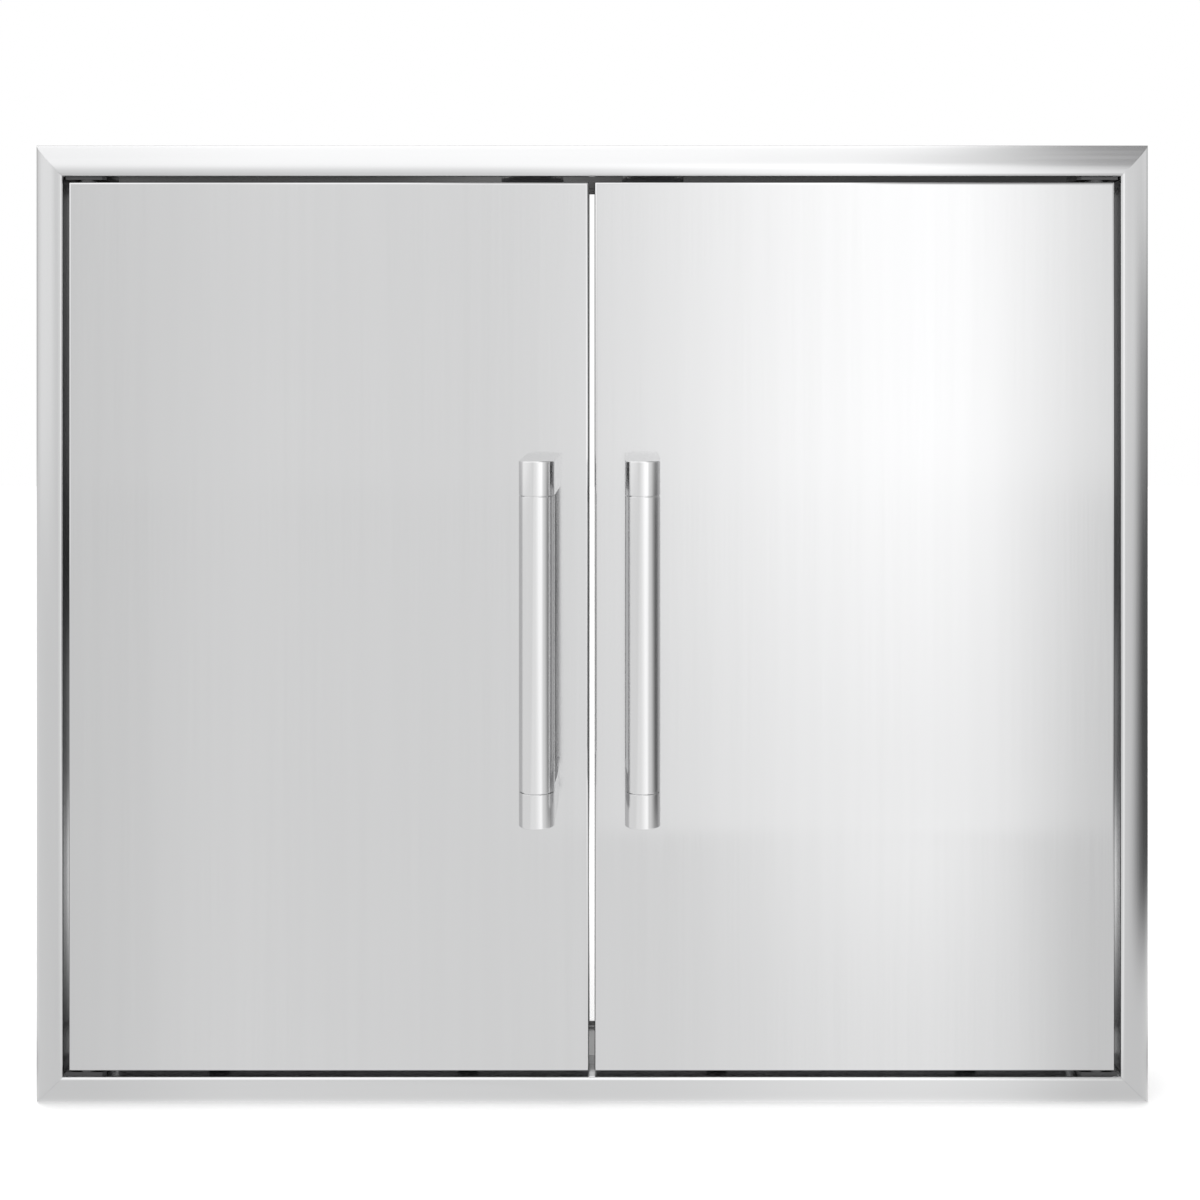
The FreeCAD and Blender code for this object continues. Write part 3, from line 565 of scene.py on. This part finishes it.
def apply_modifier(piece: bpy.types.Object, kind: str, **settings: object) -> None:
    """Adds one modifier to a piece and applies it.

    Args:
        piece: the object to change.
        kind: the modifier's type.
        settings: its properties.
    """
    work_on(piece)
    modifier = piece.modifiers.new(kind.title(), kind)
    for name, value in settings.items():
        setattr(modifier, name, value)
    bpy.ops.object.modifier_apply(modifier=modifier.name)


def settle(piece: bpy.types.Object) -> None:
    """Bakes a piece's turn, size and place into its mesh, so that its object sits at the origin."""
    work_on(piece)
    bpy.ops.object.transform_apply(location=True, rotation=True, scale=True)


def thicken(shell: bpy.types.Object, sheet: float) -> None:
    """Gives an open shell the thickness of its sheet, inwards."""
    apply_modifier(shell, "SOLIDIFY", thickness=sheet, offset=-1, use_even_offset=True)


def soften(piece: bpy.types.Object, width: float, segments: int, from_degrees: float) -> None:
    """Rounds the edges of a piece, where the angle between their faces is at least so wide."""
    apply_modifier(piece, "BEVEL", width=width, segments=segments, limit_method="ANGLE",
                   angle_limit=math.radians(from_degrees))


def shade(piece: bpy.types.Object, sharp_degrees: float = 32.0) -> None:
    """Shades a piece smoothly but for its sharp edges, and lets its wide faces stay flat.

    Args:
        piece: the object.
        sharp_degrees: the angle between two faces from which their edge looks sharp.
    """
    work_on(piece)
    bpy.ops.object.shade_smooth_by_angle(angle=math.radians(sharp_degrees))
    apply_modifier(piece, "WEIGHTED_NORMAL", keep_sharp=True)


def bore(piece: bpy.types.Object, centre: Vector, radius: float) -> None:
    """Cuts a round upright hole through a sheet.

    Args:
        piece: the object to cut.
        centre: the middle of the hole.
        radius: its radius.
    """
    deselect_all()
    bpy.ops.mesh.primitive_cylinder_add(vertices=HOLE_SIDES, radius=radius, depth=CUTTER_LENGTH,
                                        location=centre)
    cutter = bpy.context.object
    settle(cutter)
    apply_modifier(piece, "BOOLEAN", operation="DIFFERENCE", solver="EXACT", object=cutter)
    bpy.data.objects.remove(cutter)


def finished(piece: bpy.types.Object, name: str, body: str, slot: str, material: bpy.types.Material,
             *nodes: str) -> None:
    """Names a finished piece, dresses it, and ties it to the frame.

    Args:
        piece: the object.
        name: what the piece is called.
        body: the CAD body that it moves with.
        slot: the record's material slot of its finish; not used.
        material: its finish.
        nodes: the CAD nodes that it stands for.
    """
    piece.name = name
    piece.data.name = name
    put_on(piece, material)
    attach(piece, body)
    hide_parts(*nodes)
    log.info("%s: %d faces, rides on %s", name, len(piece.data.polygons), body)


def dress_nodes(material: bpy.types.Material, *names: str) -> None:
    """Gives CAD nodes their finish.

    Args:
        material: the finish.
        names: the nodes.
    """
    for name in names:
        put_on(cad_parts[name], material)
        log.info("%s: wears %s", name, material.name)


@dataclass
class Bezel:
    """The mitred frame that stands proud of the wall: four rails folded from one sheet section.

    From its outer edge inwards the section has a hem on the wall, a straight side, a crown, a short flat,
    an inner bend, and a return that ends behind the wall's face.
    """

    finishes: Finishes
    half_width: float = 0.3935
    half_height: float = 0.3385
    hem: float = 0.005
    side: float = 0.005
    rise: float = 0.020
    run: float = 0.0205
    flat: float = 0.0005
    bend: float = 0.0025
    back: float = 0.016
    sheet: float = 0.0012
    crown_steps: int = 20
    bend_steps: int = 8
    mitre_spare: float = 0.01
    edge: float = 0.00012
    edge_segments: int = 2
    edge_from_degrees: float = 40.0
    bolt_hole: float = 0.0035
    hinge_place: Vector = Vector((0.35425, -0.010, 0.3155))

    def crown(self) -> tuple[float, float]:
        """Works out the crown, from the straight side to the top of the rail.

        Returns:
            The crown's radius and its angle.
        """
        rise = self.rise - self.side
        radius = (self.run ** 2 + rise ** 2) / (2 * rise)
        return radius, math.asin(self.run / radius)

    def folded_section(self, outer: float, half_length: float) -> bpy.types.Object:
        """Folds the rail's section, hem first, and draws it out along X.

        Args:
            outer: distance of the rail's outer edge from the origin, up Z.
            half_length: half the length of the strip.

        Returns:
            The open strip, before it has a thickness, with its normals outwards.
        """
        deselect_all()
        bpy.ops.mesh.primitive_plane_add(size=1, location=(0, 0, outer - self.hem / 2),
                                         rotation=(math.pi / 2, 0, 0))
        strip = bpy.context.object
        strip.scale = (2 * half_length, self.hem, 1)
        settle(strip)
        radius, sweep = self.crown()
        bpy.ops.object.mode_set(mode="EDIT")
        pick_edges(strip, lambda a, b: min(a.z, b.z) > outer - TOUCH)
        pull((0, -self.side, 0))
        self.fold_round((0, radius - self.rise, outer - self.run), sweep, self.crown_steps)
        pull((0, 0, -self.flat))
        self.fold_round((0, self.bend - self.rise, outer - self.run - self.flat), math.pi / 2,
                        self.bend_steps)
        pull((0, self.rise - self.bend + self.back, 0))
        bpy.ops.mesh.select_all(action="SELECT")
        bpy.ops.mesh.remove_doubles(threshold=TOUCH)
        bpy.ops.mesh.normals_make_consistent(inside=False)
        bpy.ops.object.mode_set(mode="OBJECT")
        crown_faces = [face for face in strip.data.polygons if face.center.y < -self.side]
        if sum(face.normal.y * face.area for face in crown_faces) > 0:
            strip.data.flip_normals()
        return strip

    @staticmethod
    def fold_round(centre: Triple, angle: float, steps: int) -> None:
        """Spins the selected edges about a line along X, from the front of the rail inwards."""
        bpy.ops.mesh.spin(steps=steps, angle=angle, axis=(-1, 0, 0), center=centre)

    def mitre(self, rail: bpy.types.Object, outer: float, half_length: float) -> None:
        """Cuts both ends of a rail at 45 degrees, through the bezel's outer corners.

        Args:
            rail: the closed rail, along X.
            outer: distance of its outer edge from the origin.
            half_length: half its length at that edge.
        """
        work_on(rail)
        bpy.ops.object.mode_set(mode="EDIT")
        for sign in (-1, 1):
            bpy.ops.mesh.select_all(action="SELECT")
            bpy.ops.mesh.bisect(plane_co=(sign * half_length, 0, outer), plane_no=(sign, 0, -1),
                                use_fill=True, clear_outer=True)
        bpy.ops.object.mode_set(mode="OBJECT")

    def rail(self, turn_degrees: float, outer: float, half_length: float) -> bpy.types.Object:
        """Makes one rail, and bores the top one for the hinge bolts.

        Args:
            turn_degrees: its turn about Y from the top of the bezel.
            outer: distance of its outer edge from the origin.
            half_length: half its length at that edge.

        Returns:
            The finished mesh, in place.
        """
        rail = self.folded_section(outer, half_length + self.mitre_spare)
        thicken(rail, self.sheet)
        self.mitre(rail, outer, half_length)
        if turn_degrees == 0:
            for side in Side:
                place = Vector((side.value * self.hinge_place.x, *self.hinge_place.yz))
                bore(rail, place, self.bolt_hole)
        soften(rail, self.edge, self.edge_segments, self.edge_from_degrees)
        rail.rotation_euler = (0, math.radians(turn_degrees), 0)
        settle(rail)
        shade(rail)
        return rail

    def build(self) -> None:
        """Makes the four rails."""
        level = (self.half_height, self.half_width, self.finishes.level_rail)
        upright = (self.half_width, self.half_height, self.finishes.upright_rail)
        turns = {"top": 0, "bottom": 180, "left": -90, "right": 90}
        for word, turn in turns.items():
            outer, half_length, finish = level if word in ("top", "bottom") else upright
            rail = self.rail(turn, outer, half_length)
            finished(rail, f"{word}_rail", "frame", "rail_steel", finish, f"bezel_{word}_rail")


@dataclass
class Sleeve:
    """The hidden box that runs back through the wall, and the stop along its floor."""

    finishes: Finishes

    def dress(self) -> None:
        """Gives the box's walls and the door stop a sheet darkened as painted shade, and the pads their
        finish.
        """
        dress_nodes(self.finishes.sleeve_in_painted_shade, "sleeve_top", "sleeve_bottom", "sleeve_left", "sleeve_right",
                    "lower_door_stop")
        dress_nodes(self.finishes.rubber, "stop_pads")


@dataclass
class DoorPanel:
    """One hollow door: a folded skin, with the liner and stiffener behind it."""

    side: Side
    finishes: Finishes
    inner_edge: float = 0.002
    outer_edge: float = 0.36625
    half_height: float = 0.31125
    front: float = -0.019
    back: float = 0.001
    bend: float = 0.0022
    bend_segments: int = 7
    sheet: float = 0.0012
    seam: float = 0.0004
    seam_segments: int = 3
    seam_from_degrees: float = 60.0
    sharp_degrees: float = 50.0
    hinge: Vector = Vector((0.35425, -0.010, 0.31))
    bush_hole: float = 0.00455

    def folded_skin(self) -> bpy.types.Object:
        """Folds the door's skin: a shallow tray, open at the back.

        Returns:
            The closed mesh of the sheet.
        """
        width = self.outer_edge - self.inner_edge
        depth = self.back - self.front
        deselect_all()
        middle = (self.side.value * (self.inner_edge + width / 2), self.front + depth / 2, 0)
        bpy.ops.mesh.primitive_cube_add(size=1, location=middle)
        skin = bpy.context.object
        skin.scale = (width, depth, 2 * self.half_height)
        settle(skin)
        bpy.ops.object.mode_set(mode="EDIT")
        pick_edges(skin, lambda a, b: max(a.y, b.y) < self.front + TOUCH)
        bpy.ops.mesh.bevel(offset=self.bend, segments=self.bend_segments, profile=0.5)
        pick_faces(skin, lambda centre: centre.y > self.back - TOUCH)
        bpy.ops.mesh.delete(type="FACE")
        bpy.ops.object.mode_set(mode="OBJECT")
        thicken(skin, self.sheet)
        return skin

    def build(self) -> None:
        """Makes the skin, with the holes that the hinge bushes sit in."""
        skin = self.folded_skin()
        for end in (-1, 1):
            place = Vector((self.side.value * self.hinge.x, self.hinge.y, end * self.hinge.z))
            bore(skin, place, self.bush_hole)
        soften(skin, self.seam, self.seam_segments, self.seam_from_degrees)
        shade(skin, self.sharp_degrees)
        word = self.side.word
        finished(skin, f"{word}_door_face", f"{word}_door", "satin_steel", self.finishes.skin,
                 f"{word}_door_skin")

    def dress(self) -> None:
        """Gives the liner and the stiffener their finish."""
        word = self.side.word
        dress_nodes(self.finishes.sheet, f"{word}_door_liner", f"{word}_door_stiffener")


@dataclass
class Handle:
    """A bar handle: a satin tube between two square-backed end posts."""

    side: Side
    finishes: Finishes
    axis_x: float = 0.0355
    axis_y: float = -0.068
    top: float = 0.119
    bottom: float = -0.125
    radius: float = 0.011995
    wall: float = 0.0015
    post: float = 0.023
    reach: float = 0.049
    spigot: float = 0.012
    spigot_slack: float = 0.00005
    joint_gap: float = 0.0006
    rim: float = 0.0003
    rim_segments: int = 3
    rim_from_degrees: float = 60.0
    cap_bevel: float = 0.0006
    bevel_segments: int = 4
    facets: int = 96

    @property
    def centre_x(self) -> float:
        """The handle's axis across the door."""
        return self.side.value * self.axis_x

    def cylinder(self, low: float, high: float) -> bpy.types.Object:
        """Starts a piece as a round bar on the handle's axis.

        Args:
            low: the height of its lower end.
            high: the height of its upper end.

        Returns:
            The bar.
        """
        deselect_all()
        bpy.ops.mesh.primitive_cylinder_add(vertices=self.facets, radius=self.radius, depth=high - low,
                                            location=(self.centre_x, self.axis_y, (low + high) / 2))
        bar = bpy.context.object
        settle(bar)
        return bar

    def bored_tube(self) -> bpy.types.Object:
        """Makes the tube between the posts.

        Returns:
            The tube, with its wall and rounded rims.
        """
        low = self.bottom + self.post + self.joint_gap
        high = self.top - self.post - self.joint_gap
        tube = self.cylinder(low, high)
        bpy.ops.object.mode_set(mode="EDIT")
        pick_faces(tube, lambda centre: not low + TOUCH < centre.z < high - TOUCH)
        bpy.ops.mesh.inset(thickness=self.wall)
        bpy.ops.mesh.bridge_edge_loops()
        bpy.ops.mesh.select_all(action="SELECT")
        bpy.ops.mesh.normals_make_consistent(inside=False)
        bpy.ops.object.mode_set(mode="OBJECT")
        soften(tube, self.rim, self.rim_segments, self.rim_from_degrees)
        shade(tube)
        return tube

    def turned_post(self, end: int) -> bpy.types.Object:
        """Makes one end post: round in front, flat-sided back to the door, with a spigot in the tube.

        Args:
            end: 1 for the upper post, -1 for the lower one.

        Returns:
            The post.
        """
        tip = self.top if end > 0 else self.bottom
        joint = tip - end * self.post
        post = self.cylinder(min(tip, joint), max(tip, joint))
        bpy.ops.object.mode_set(mode="EDIT")
        pick_faces(post, lambda centre: abs(centre.z - joint) < TOUCH)
        bpy.ops.mesh.inset(thickness=self.wall + self.spigot_slack)
        pull((0, 0, -end * self.spigot))
        self.square_the_back(post)
        for place, width in ((tip, self.cap_bevel), (joint, self.rim)):
            pick_edges(post, lambda a, b: self.on_outline(a, place) and self.on_outline(b, place))
            bpy.ops.mesh.bevel(offset=width, segments=self.bevel_segments, profile=0.5)
        bpy.ops.object.mode_set(mode="OBJECT")
        shade(post)
        return post

    def from_axis(self, point: Vector) -> float:
        """How far a point lies from the handle's axis."""
        return math.hypot(point.x - self.centre_x, point.y - self.axis_y)

    def on_outline(self, point: Vector, height: float) -> bool:
        """Whether a point lies on the post's outline at a height, clear of the spigot and the door.

        Args:
            point: the point's place.
            height: the height of the outline.

        Returns:
            True if it does.
        """
        at_door = point.y > self.axis_y + self.reach - TOUCH
        off_spigot = self.from_axis(point) > self.radius - self.wall / 2
        return abs(point.z - height) < TOUCH and off_spigot and not at_door

    def on_back(self, point: Vector) -> bool:
        """Whether a point lies on the back half of the round bar's outline."""
        return point.y > self.axis_y + TOUCH and self.from_axis(point) > self.radius - TOUCH

    def square_the_back(self, post: bpy.types.Object) -> None:
        """Flattens the back half of a post's outline and carries it to the door.

        Args:
            post: the post, in edit mode.
        """
        pick_points(post, self.on_back)
        bpy.ops.transform.resize(value=(1, 0, 1), center_override=(self.centre_x, self.axis_y, 0))
        bpy.ops.transform.translate(value=(0, self.reach, 0))

    def build(self) -> None:
        """Makes the tube and both posts."""
        word = self.side.word
        body = f"{word}_door"
        finish = self.finishes.handle
        finished(self.bored_tube(), f"{word}_grip", body, "handle_steel", finish, f"{word}_handle_tube")
        for end, place in ((1, "upper"), (-1, "lower")):
            finished(self.turned_post(end), f"{word}_{place}_post", body, "handle_steel", finish,
                     f"{word}_handle_{place}_post")

    def dress(self) -> None:
        """Gives the handle's screws and washers their finish."""
        word = self.side.word
        dress_nodes(self.finishes.fastener, f"{word}_handle_screws", f"{word}_handle_washers")


@dataclass
class HingeHardware:
    """A door's lift-off hinges: fixed plates and pin, bushes, and the spring bolt at the top."""

    side: Side
    finishes: Finishes

    def dress(self) -> None:
        """Gives the hinge pieces their finishes: the plates a sheet darkened as painted shade, the bushes
        a black nylon that is partly painted shade.
        """
        word = self.side.word
        dress_nodes(self.finishes.hinge, f"{word}_upper_hinge_plate", f"{word}_lower_hinge_plate")
        dress_nodes(self.finishes.sheet, f"{word}_bolt_guide")
        dress_nodes(self.finishes.fastener, f"{word}_lower_hinge_pin", f"{word}_hinge_bolt",
                    f"{word}_bolt_clip", f"{word}_bolt_spring")
        dress_nodes(self.finishes.nylon, f"{word}_upper_bush", f"{word}_lower_bush")


@dataclass
class Catch:
    """A magnetic catch under the top rail, and the strike plate it holds."""

    side: Side
    finishes: Finishes

    def dress(self) -> None:
        """Gives the catch pieces their finishes."""
        word = self.side.word
        dress_nodes(self.finishes.grey_plastic, f"{word}_catch_housing")
        dress_nodes(self.finishes.ferrite, f"{word}_catch_magnet")
        dress_nodes(self.finishes.sheet, f"{word}_catch_poles", f"{word}_strike_plate")
        dress_nodes(self.finishes.fastener, f"{word}_strike_rivets")


@dataclass
class PhotoCamera:
    """The camera of the photograph: square to the wall, and shifted so that uprights stay upright."""

    wall_distance: float = 1.150
    across: float = 0.030
    height: float = 0.180
    lens: float = 48.5
    sensor: float = 36.0
    shift: tuple[float, float] = (-0.0288, -0.1922)
    sight: float = 50.0

    def build(self) -> None:
        """Places the camera and makes it the scene's own."""
        camera = bpy.data.cameras.new("camera")
        camera.lens = self.lens
        camera.sensor_width = self.sensor
        camera.shift_x, camera.shift_y = self.shift
        camera.clip_end = self.sight
        holder = bpy.data.objects.new("camera", camera)
        holder.location = (self.across, -self.wall_distance, self.height)
        holder.rotation_euler = (math.pi / 2, 0, 0)
        bpy.context.scene.collection.objects.link(holder)
        bpy.context.scene.camera = holder


@dataclass
class Softbox:
    """One soft lamp in front, to the right and above, turned to the doors."""

    place: Vector = Vector((0.9, -1.6, 1.3))
    size: float = 1.2
    watts: float = 6.0

    def build(self) -> None:
        """Hangs the lamp, which the steel doesn't mirror."""
        lamp = bpy.data.lights.new("softbox", "AREA")
        lamp.shape = "SQUARE"
        lamp.size = self.size
        lamp.energy = self.watts
        holder = bpy.data.objects.new("softbox", lamp)
        holder.location = self.place
        holder.rotation_euler = (-self.place).to_track_quat("-Z", "Y").to_euler()
        holder.visible_glossy = False
        bpy.context.scene.collection.objects.link(holder)


@dataclass
class GlowPanel:
    """A glowing sheet to the right of the camera, for the steel to mirror. The camera doesn't see it."""

    y: float = -0.7
    left: float = -0.16
    brightest: float = 0.362
    right: float = 0.64
    top: float = 1.0
    strength: float = 0.56
    foot: Fade = Fade(FLOOR_Z, 0.15, 0.6, 1.0)
    head: Fade = Fade(0.6, 1.0, 1.0, 0.0)

    def build(self) -> None:
        """Stands the sheet on the floor."""
        middle = ((self.left + self.right) / 2, self.y, (FLOOR_Z + self.top) / 2)
        deselect_all()
        bpy.ops.mesh.primitive_plane_add(size=1, location=middle, rotation=(math.pi / 2, 0, 0))
        panel = bpy.context.object
        panel.name = "studio_panel"
        panel.scale = (self.right - self.left, self.top - FLOOR_Z, 1)
        settle(panel)
        material, board = new_material("panel_glow")
        parts = board.add("SeparateXYZ", Vector=board.add("TexCoord").outputs["Object"]).outputs
        across = board.hump(parts["X"], self.left, self.brightest, self.right)
        upright = board.times(board.faded(parts["Z"], self.foot), board.faded(parts["Z"], self.head))
        unseen = board.without(board.add("LightPath").outputs["Is Camera Ray"])
        glow = board.add("Emission", Strength=board.times(unseen, across, upright, self.strength))
        board.surface(board.both(board.add("BsdfTransparent", Color=WHITE), glow))
        put_on(panel, material)


@dataclass
class PaperFloor:
    """The floor: white paper that keeps the object's shadow.

    In the steel it also shows painted light and shade: a painted pool of light at the panel's foot,
    painted dark flags to the right and behind, and painted shade for the dark inside of the island. Its
    bands fan out from the camera's mirror image behind the wall, so that they stand upright in the doors.
    """

    camera: PhotoCamera
    panel: GlowPanel
    size: float = 12.0
    paper: Colour = (0.82, 0.82, 0.82)
    fibres_per_metre: float = 300.0
    fibre_share: float = 0.01
    roughness: float = 0.9
    whitening: float = 0.33
    # Painted light and shade for the floor's mirrored glow: the flag, end, island and far fades darken
    # it, and the pool ones paint a pool of light.
    right_flag: Fade = Fade(0.35, 1.0, 1.0, 0.1)
    back_flag: Fade = Fade(0.7, 0.95, 1.0, 0.25)
    flags_begin: Fade = Fade(0.55, 0.95, 0.0, 1.0)
    left_end: Fade = Fade(-0.36, -0.24, 0.91, 1.02)
    right_end: Fade = Fade(0.28, 0.36, 1.0, 0.86)
    island_shade_depth: Triple = (0.0, 0.08, 0.5)
    island_shade_width: Fade = Fade(0.4, 0.5, 0.92, 0.0)
    far_back: Fade = Fade(0.8, 0.95, 0.0, 0.85)
    far_begins: Fade = Fade(1.4, 2.6, 0.0, 1.0)
    pool_width: Triple = (0.02, 0.224, 0.355)
    pool_at_panel: float = 0.33
    pool_at_wall: float = 0.16
    pool_edge: float = 0.04

    def build(self) -> None:
        """Lays the paper."""
        deselect_all()
        bpy.ops.mesh.primitive_plane_add(size=self.size, location=(0, 0, FLOOR_Z))
        floor = bpy.context.object
        floor.name = "studio_floor"
        settle(floor)
        material, board = new_material("floor_paper")
        fibres = board.faded(board.even_noise(self.fibres_per_metre), Fade.about(1.0, self.fibre_share))
        paper = board.add("BsdfPrincipled", Base_Color=board.tinted(self.paper, fibres),
                          Roughness=self.roughness)
        glow = board.add("Emission", Strength=board.times(board.looked_at(), self.whitening))
        # Glossy rays see the painted pattern instead of the paper: painted light and shade that show only
        # in the steel's reflections.
        mirrored = board.add("Emission", Strength=self.pattern(board))
        either = board.add("MixShader", Fac=board.add("LightPath").outputs["Is Glossy Ray"])
        board.feed(either, 1, board.both(paper, glow).outputs[0])
        board.feed(either, 2, mirrored.outputs[0])
        board.surface(either)
        put_on(floor, material)

    def fanned(self, board: NodeBoard, x: Socket, y: Socket) -> Socket:
        """Where the line from the fan's point to a place on the floor crosses the wall.

        Args:
            board: the floor's nodes.
            x: the place's X.
            y: the place's Y.

        Returns:
            The X of the crossing.
        """
        reach = board.math("SUBTRACT", self.camera.wall_distance, y)
        slant = board.math("SUBTRACT", board.times(x, self.camera.wall_distance),
                           board.times(y, self.camera.across))
        return board.math("DIVIDE", slant, reach)

    def pattern(self, board: NodeBoard) -> Socket:
        """How bright the floor looks in the steel: painted light and shade that only its reflections
        show.

        Args:
            board: the floor's nodes.

        Returns:
            The strength, in the floor's own coordinates.
        """
        level = (1.0, 1.0, 0.0)
        place = board.vector("MULTIPLY", board.add("TexCoord").outputs["Object"], level).outputs[0]
        x, y, _ = board.add("SeparateXYZ", Vector=place).outputs
        distance = board.vector("LENGTH", place).outputs["Value"]
        way = board.vector("NORMALIZE", place).outputs[0]
        to_flag = board.vector("DOT_PRODUCT", way, FLAG_WAY).outputs["Value"]
        to_back = board.add("SeparateXYZ", Vector=way).outputs["Y"]
        across = self.fanned(board, x, y)

        # Painted shade: dark flags to the right and behind, beyond a distance.
        flags = board.times(board.faded(to_flag, self.right_flag), board.faded(to_back, self.back_flag))
        flagged = board.times(board.faded(distance, self.flags_begin), board.without(flags))
        # Painted shade towards both ends of the band that shows in the doors.
        ends = board.times(board.faded(across, self.left_end), board.faded(across, self.right_end))
        # Painted shade: the dark inside of the island behind the doors.
        island = board.times(board.hump(y, *self.island_shade_depth),
                             board.faded(board.math("ABSOLUTE", x), self.island_shade_width))
        # Painted shade: darker far behind the object.
        far = board.times(board.faded(to_back, self.far_back), board.faded(distance, self.far_begins))
        plain = board.times(board.without(flagged), ends, board.without(island), board.without(far))

        # Painted light: a pool of light at the panel's foot, painted on rather than cast by the panel.
        front = self.panel.y
        pool = board.times(board.hump(across, *self.pool_width),
                           board.faded(y, Fade(front, 0.0, self.pool_at_panel, self.pool_at_wall)),
                           board.faded(y, Fade(front - self.pool_edge, front + self.pool_edge, 0.0, 1.0)))
        return board.plus(plain, pool)


@dataclass
class Surroundings:
    """The world: white to the camera, and to the object a white studio with flags and a top panel."""

    left_side: Fade = Fade(-0.36, -0.2, 0.92, 1.05)
    left_glow: Fade = Fade(-0.8, -0.4, 0.24, 0.0)
    left_glow_ends: Fade = Fade(-0.1, 0.6, 1.0, 0.0)
    right_flag: Fade = Fade(0.35, 1.0, 0.0, 0.7)
    right_flag_top: Fade = Fade(-0.015, 0.115, 1.0, 0.0)
    back_top: Fade = Fade(0.3, 0.8, 1.0, 0.0)
    back_flag: Fade = Fade(0.4, 0.92, 1.0, 0.5)
    back_middle: Fade = Fade(0.82, 0.96, 1.0, 0.3)
    top_panel: Fade = Fade(0.17, 0.28, 0.5, -0.65)
    top_panel_foot: Fade = Fade(0.08, 0.6, 0.0, 1.0)

    def build(self) -> None:
        """Lays out the world's nodes."""
        world = bpy.data.worlds.new("studio")
        world.use_nodes = True
        bpy.context.scene.world = world
        board = NodeBoard(world.node_tree)
        strength = board.add("Mix", {"data_type": "FLOAT"}, Factor=board.looked_at(),
                             A=self.pattern(board), B=1.0)
        sky = board.add("Background", Color=WHITE, Strength=strength.outputs[0])
        board.add("OutputWorld", Surface=sky.outputs[0])

    def pattern(self, board: NodeBoard) -> Socket:
        """How bright the object finds each way.

        Args:
            board: the world's nodes.

        Returns:
            The strength.
        """
        way = board.add("TexCoord").outputs["Generated"]
        x, y, z = board.add("SeparateXYZ", Vector=way).outputs
        to_flag = board.vector("DOT_PRODUCT", way, FLAG_WAY).outputs["Value"]
        to_back = board.times(y, board.faded(z, self.back_top))

        glow = board.times(board.faded(x, self.left_glow), board.faded(y, self.left_glow_ends))
        left = board.plus(board.faded(x, self.left_side), glow)
        flag = board.times(board.faded(to_flag, self.right_flag), board.faded(z, self.right_flag_top))
        behind = board.times(board.faded(to_back, self.back_flag), board.faded(to_back, self.back_middle))
        above = board.times(board.faded(x, self.top_panel), board.faded(z, self.top_panel_foot))
        return board.times(left, board.without(flag), behind, board.plus(above, 1.0))


@dataclass
class Studio:
    """Camera, lamp, panel, floor and surroundings."""

    camera: PhotoCamera = field(default_factory=PhotoCamera)
    lamp: Softbox = field(default_factory=Softbox)
    panel: GlowPanel = field(default_factory=GlowPanel)
    surroundings: Surroundings = field(default_factory=Surroundings)

    def build(self) -> None:
        """Sets up the whole studio."""
        bpy.context.scene.view_settings.view_transform = "Standard"
        floor = PaperFloor(self.camera, self.panel)
        for part in (self.camera, self.lamp, self.panel, floor, self.surroundings):
            part.build()


def main() -> None:
    """Builds the sub-assemblies in order, then the studio round them."""
    logging.basicConfig(level=logging.INFO, format="%(message)s")
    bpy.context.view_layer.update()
    finishes = Finishes()
    finishes.mix()
    Bezel(finishes).build()
    Sleeve(finishes).dress()
    dress_nodes(finishes.fastener, "catch_screws")
    for side in Side:
        for part in (DoorPanel(side, finishes), Handle(side, finishes)):
            part.build()
            part.dress()
        HingeHardware(side, finishes).dress()
        Catch(side, finishes).dress()
    Studio().build()


if __name__ == "__main__":
    main()
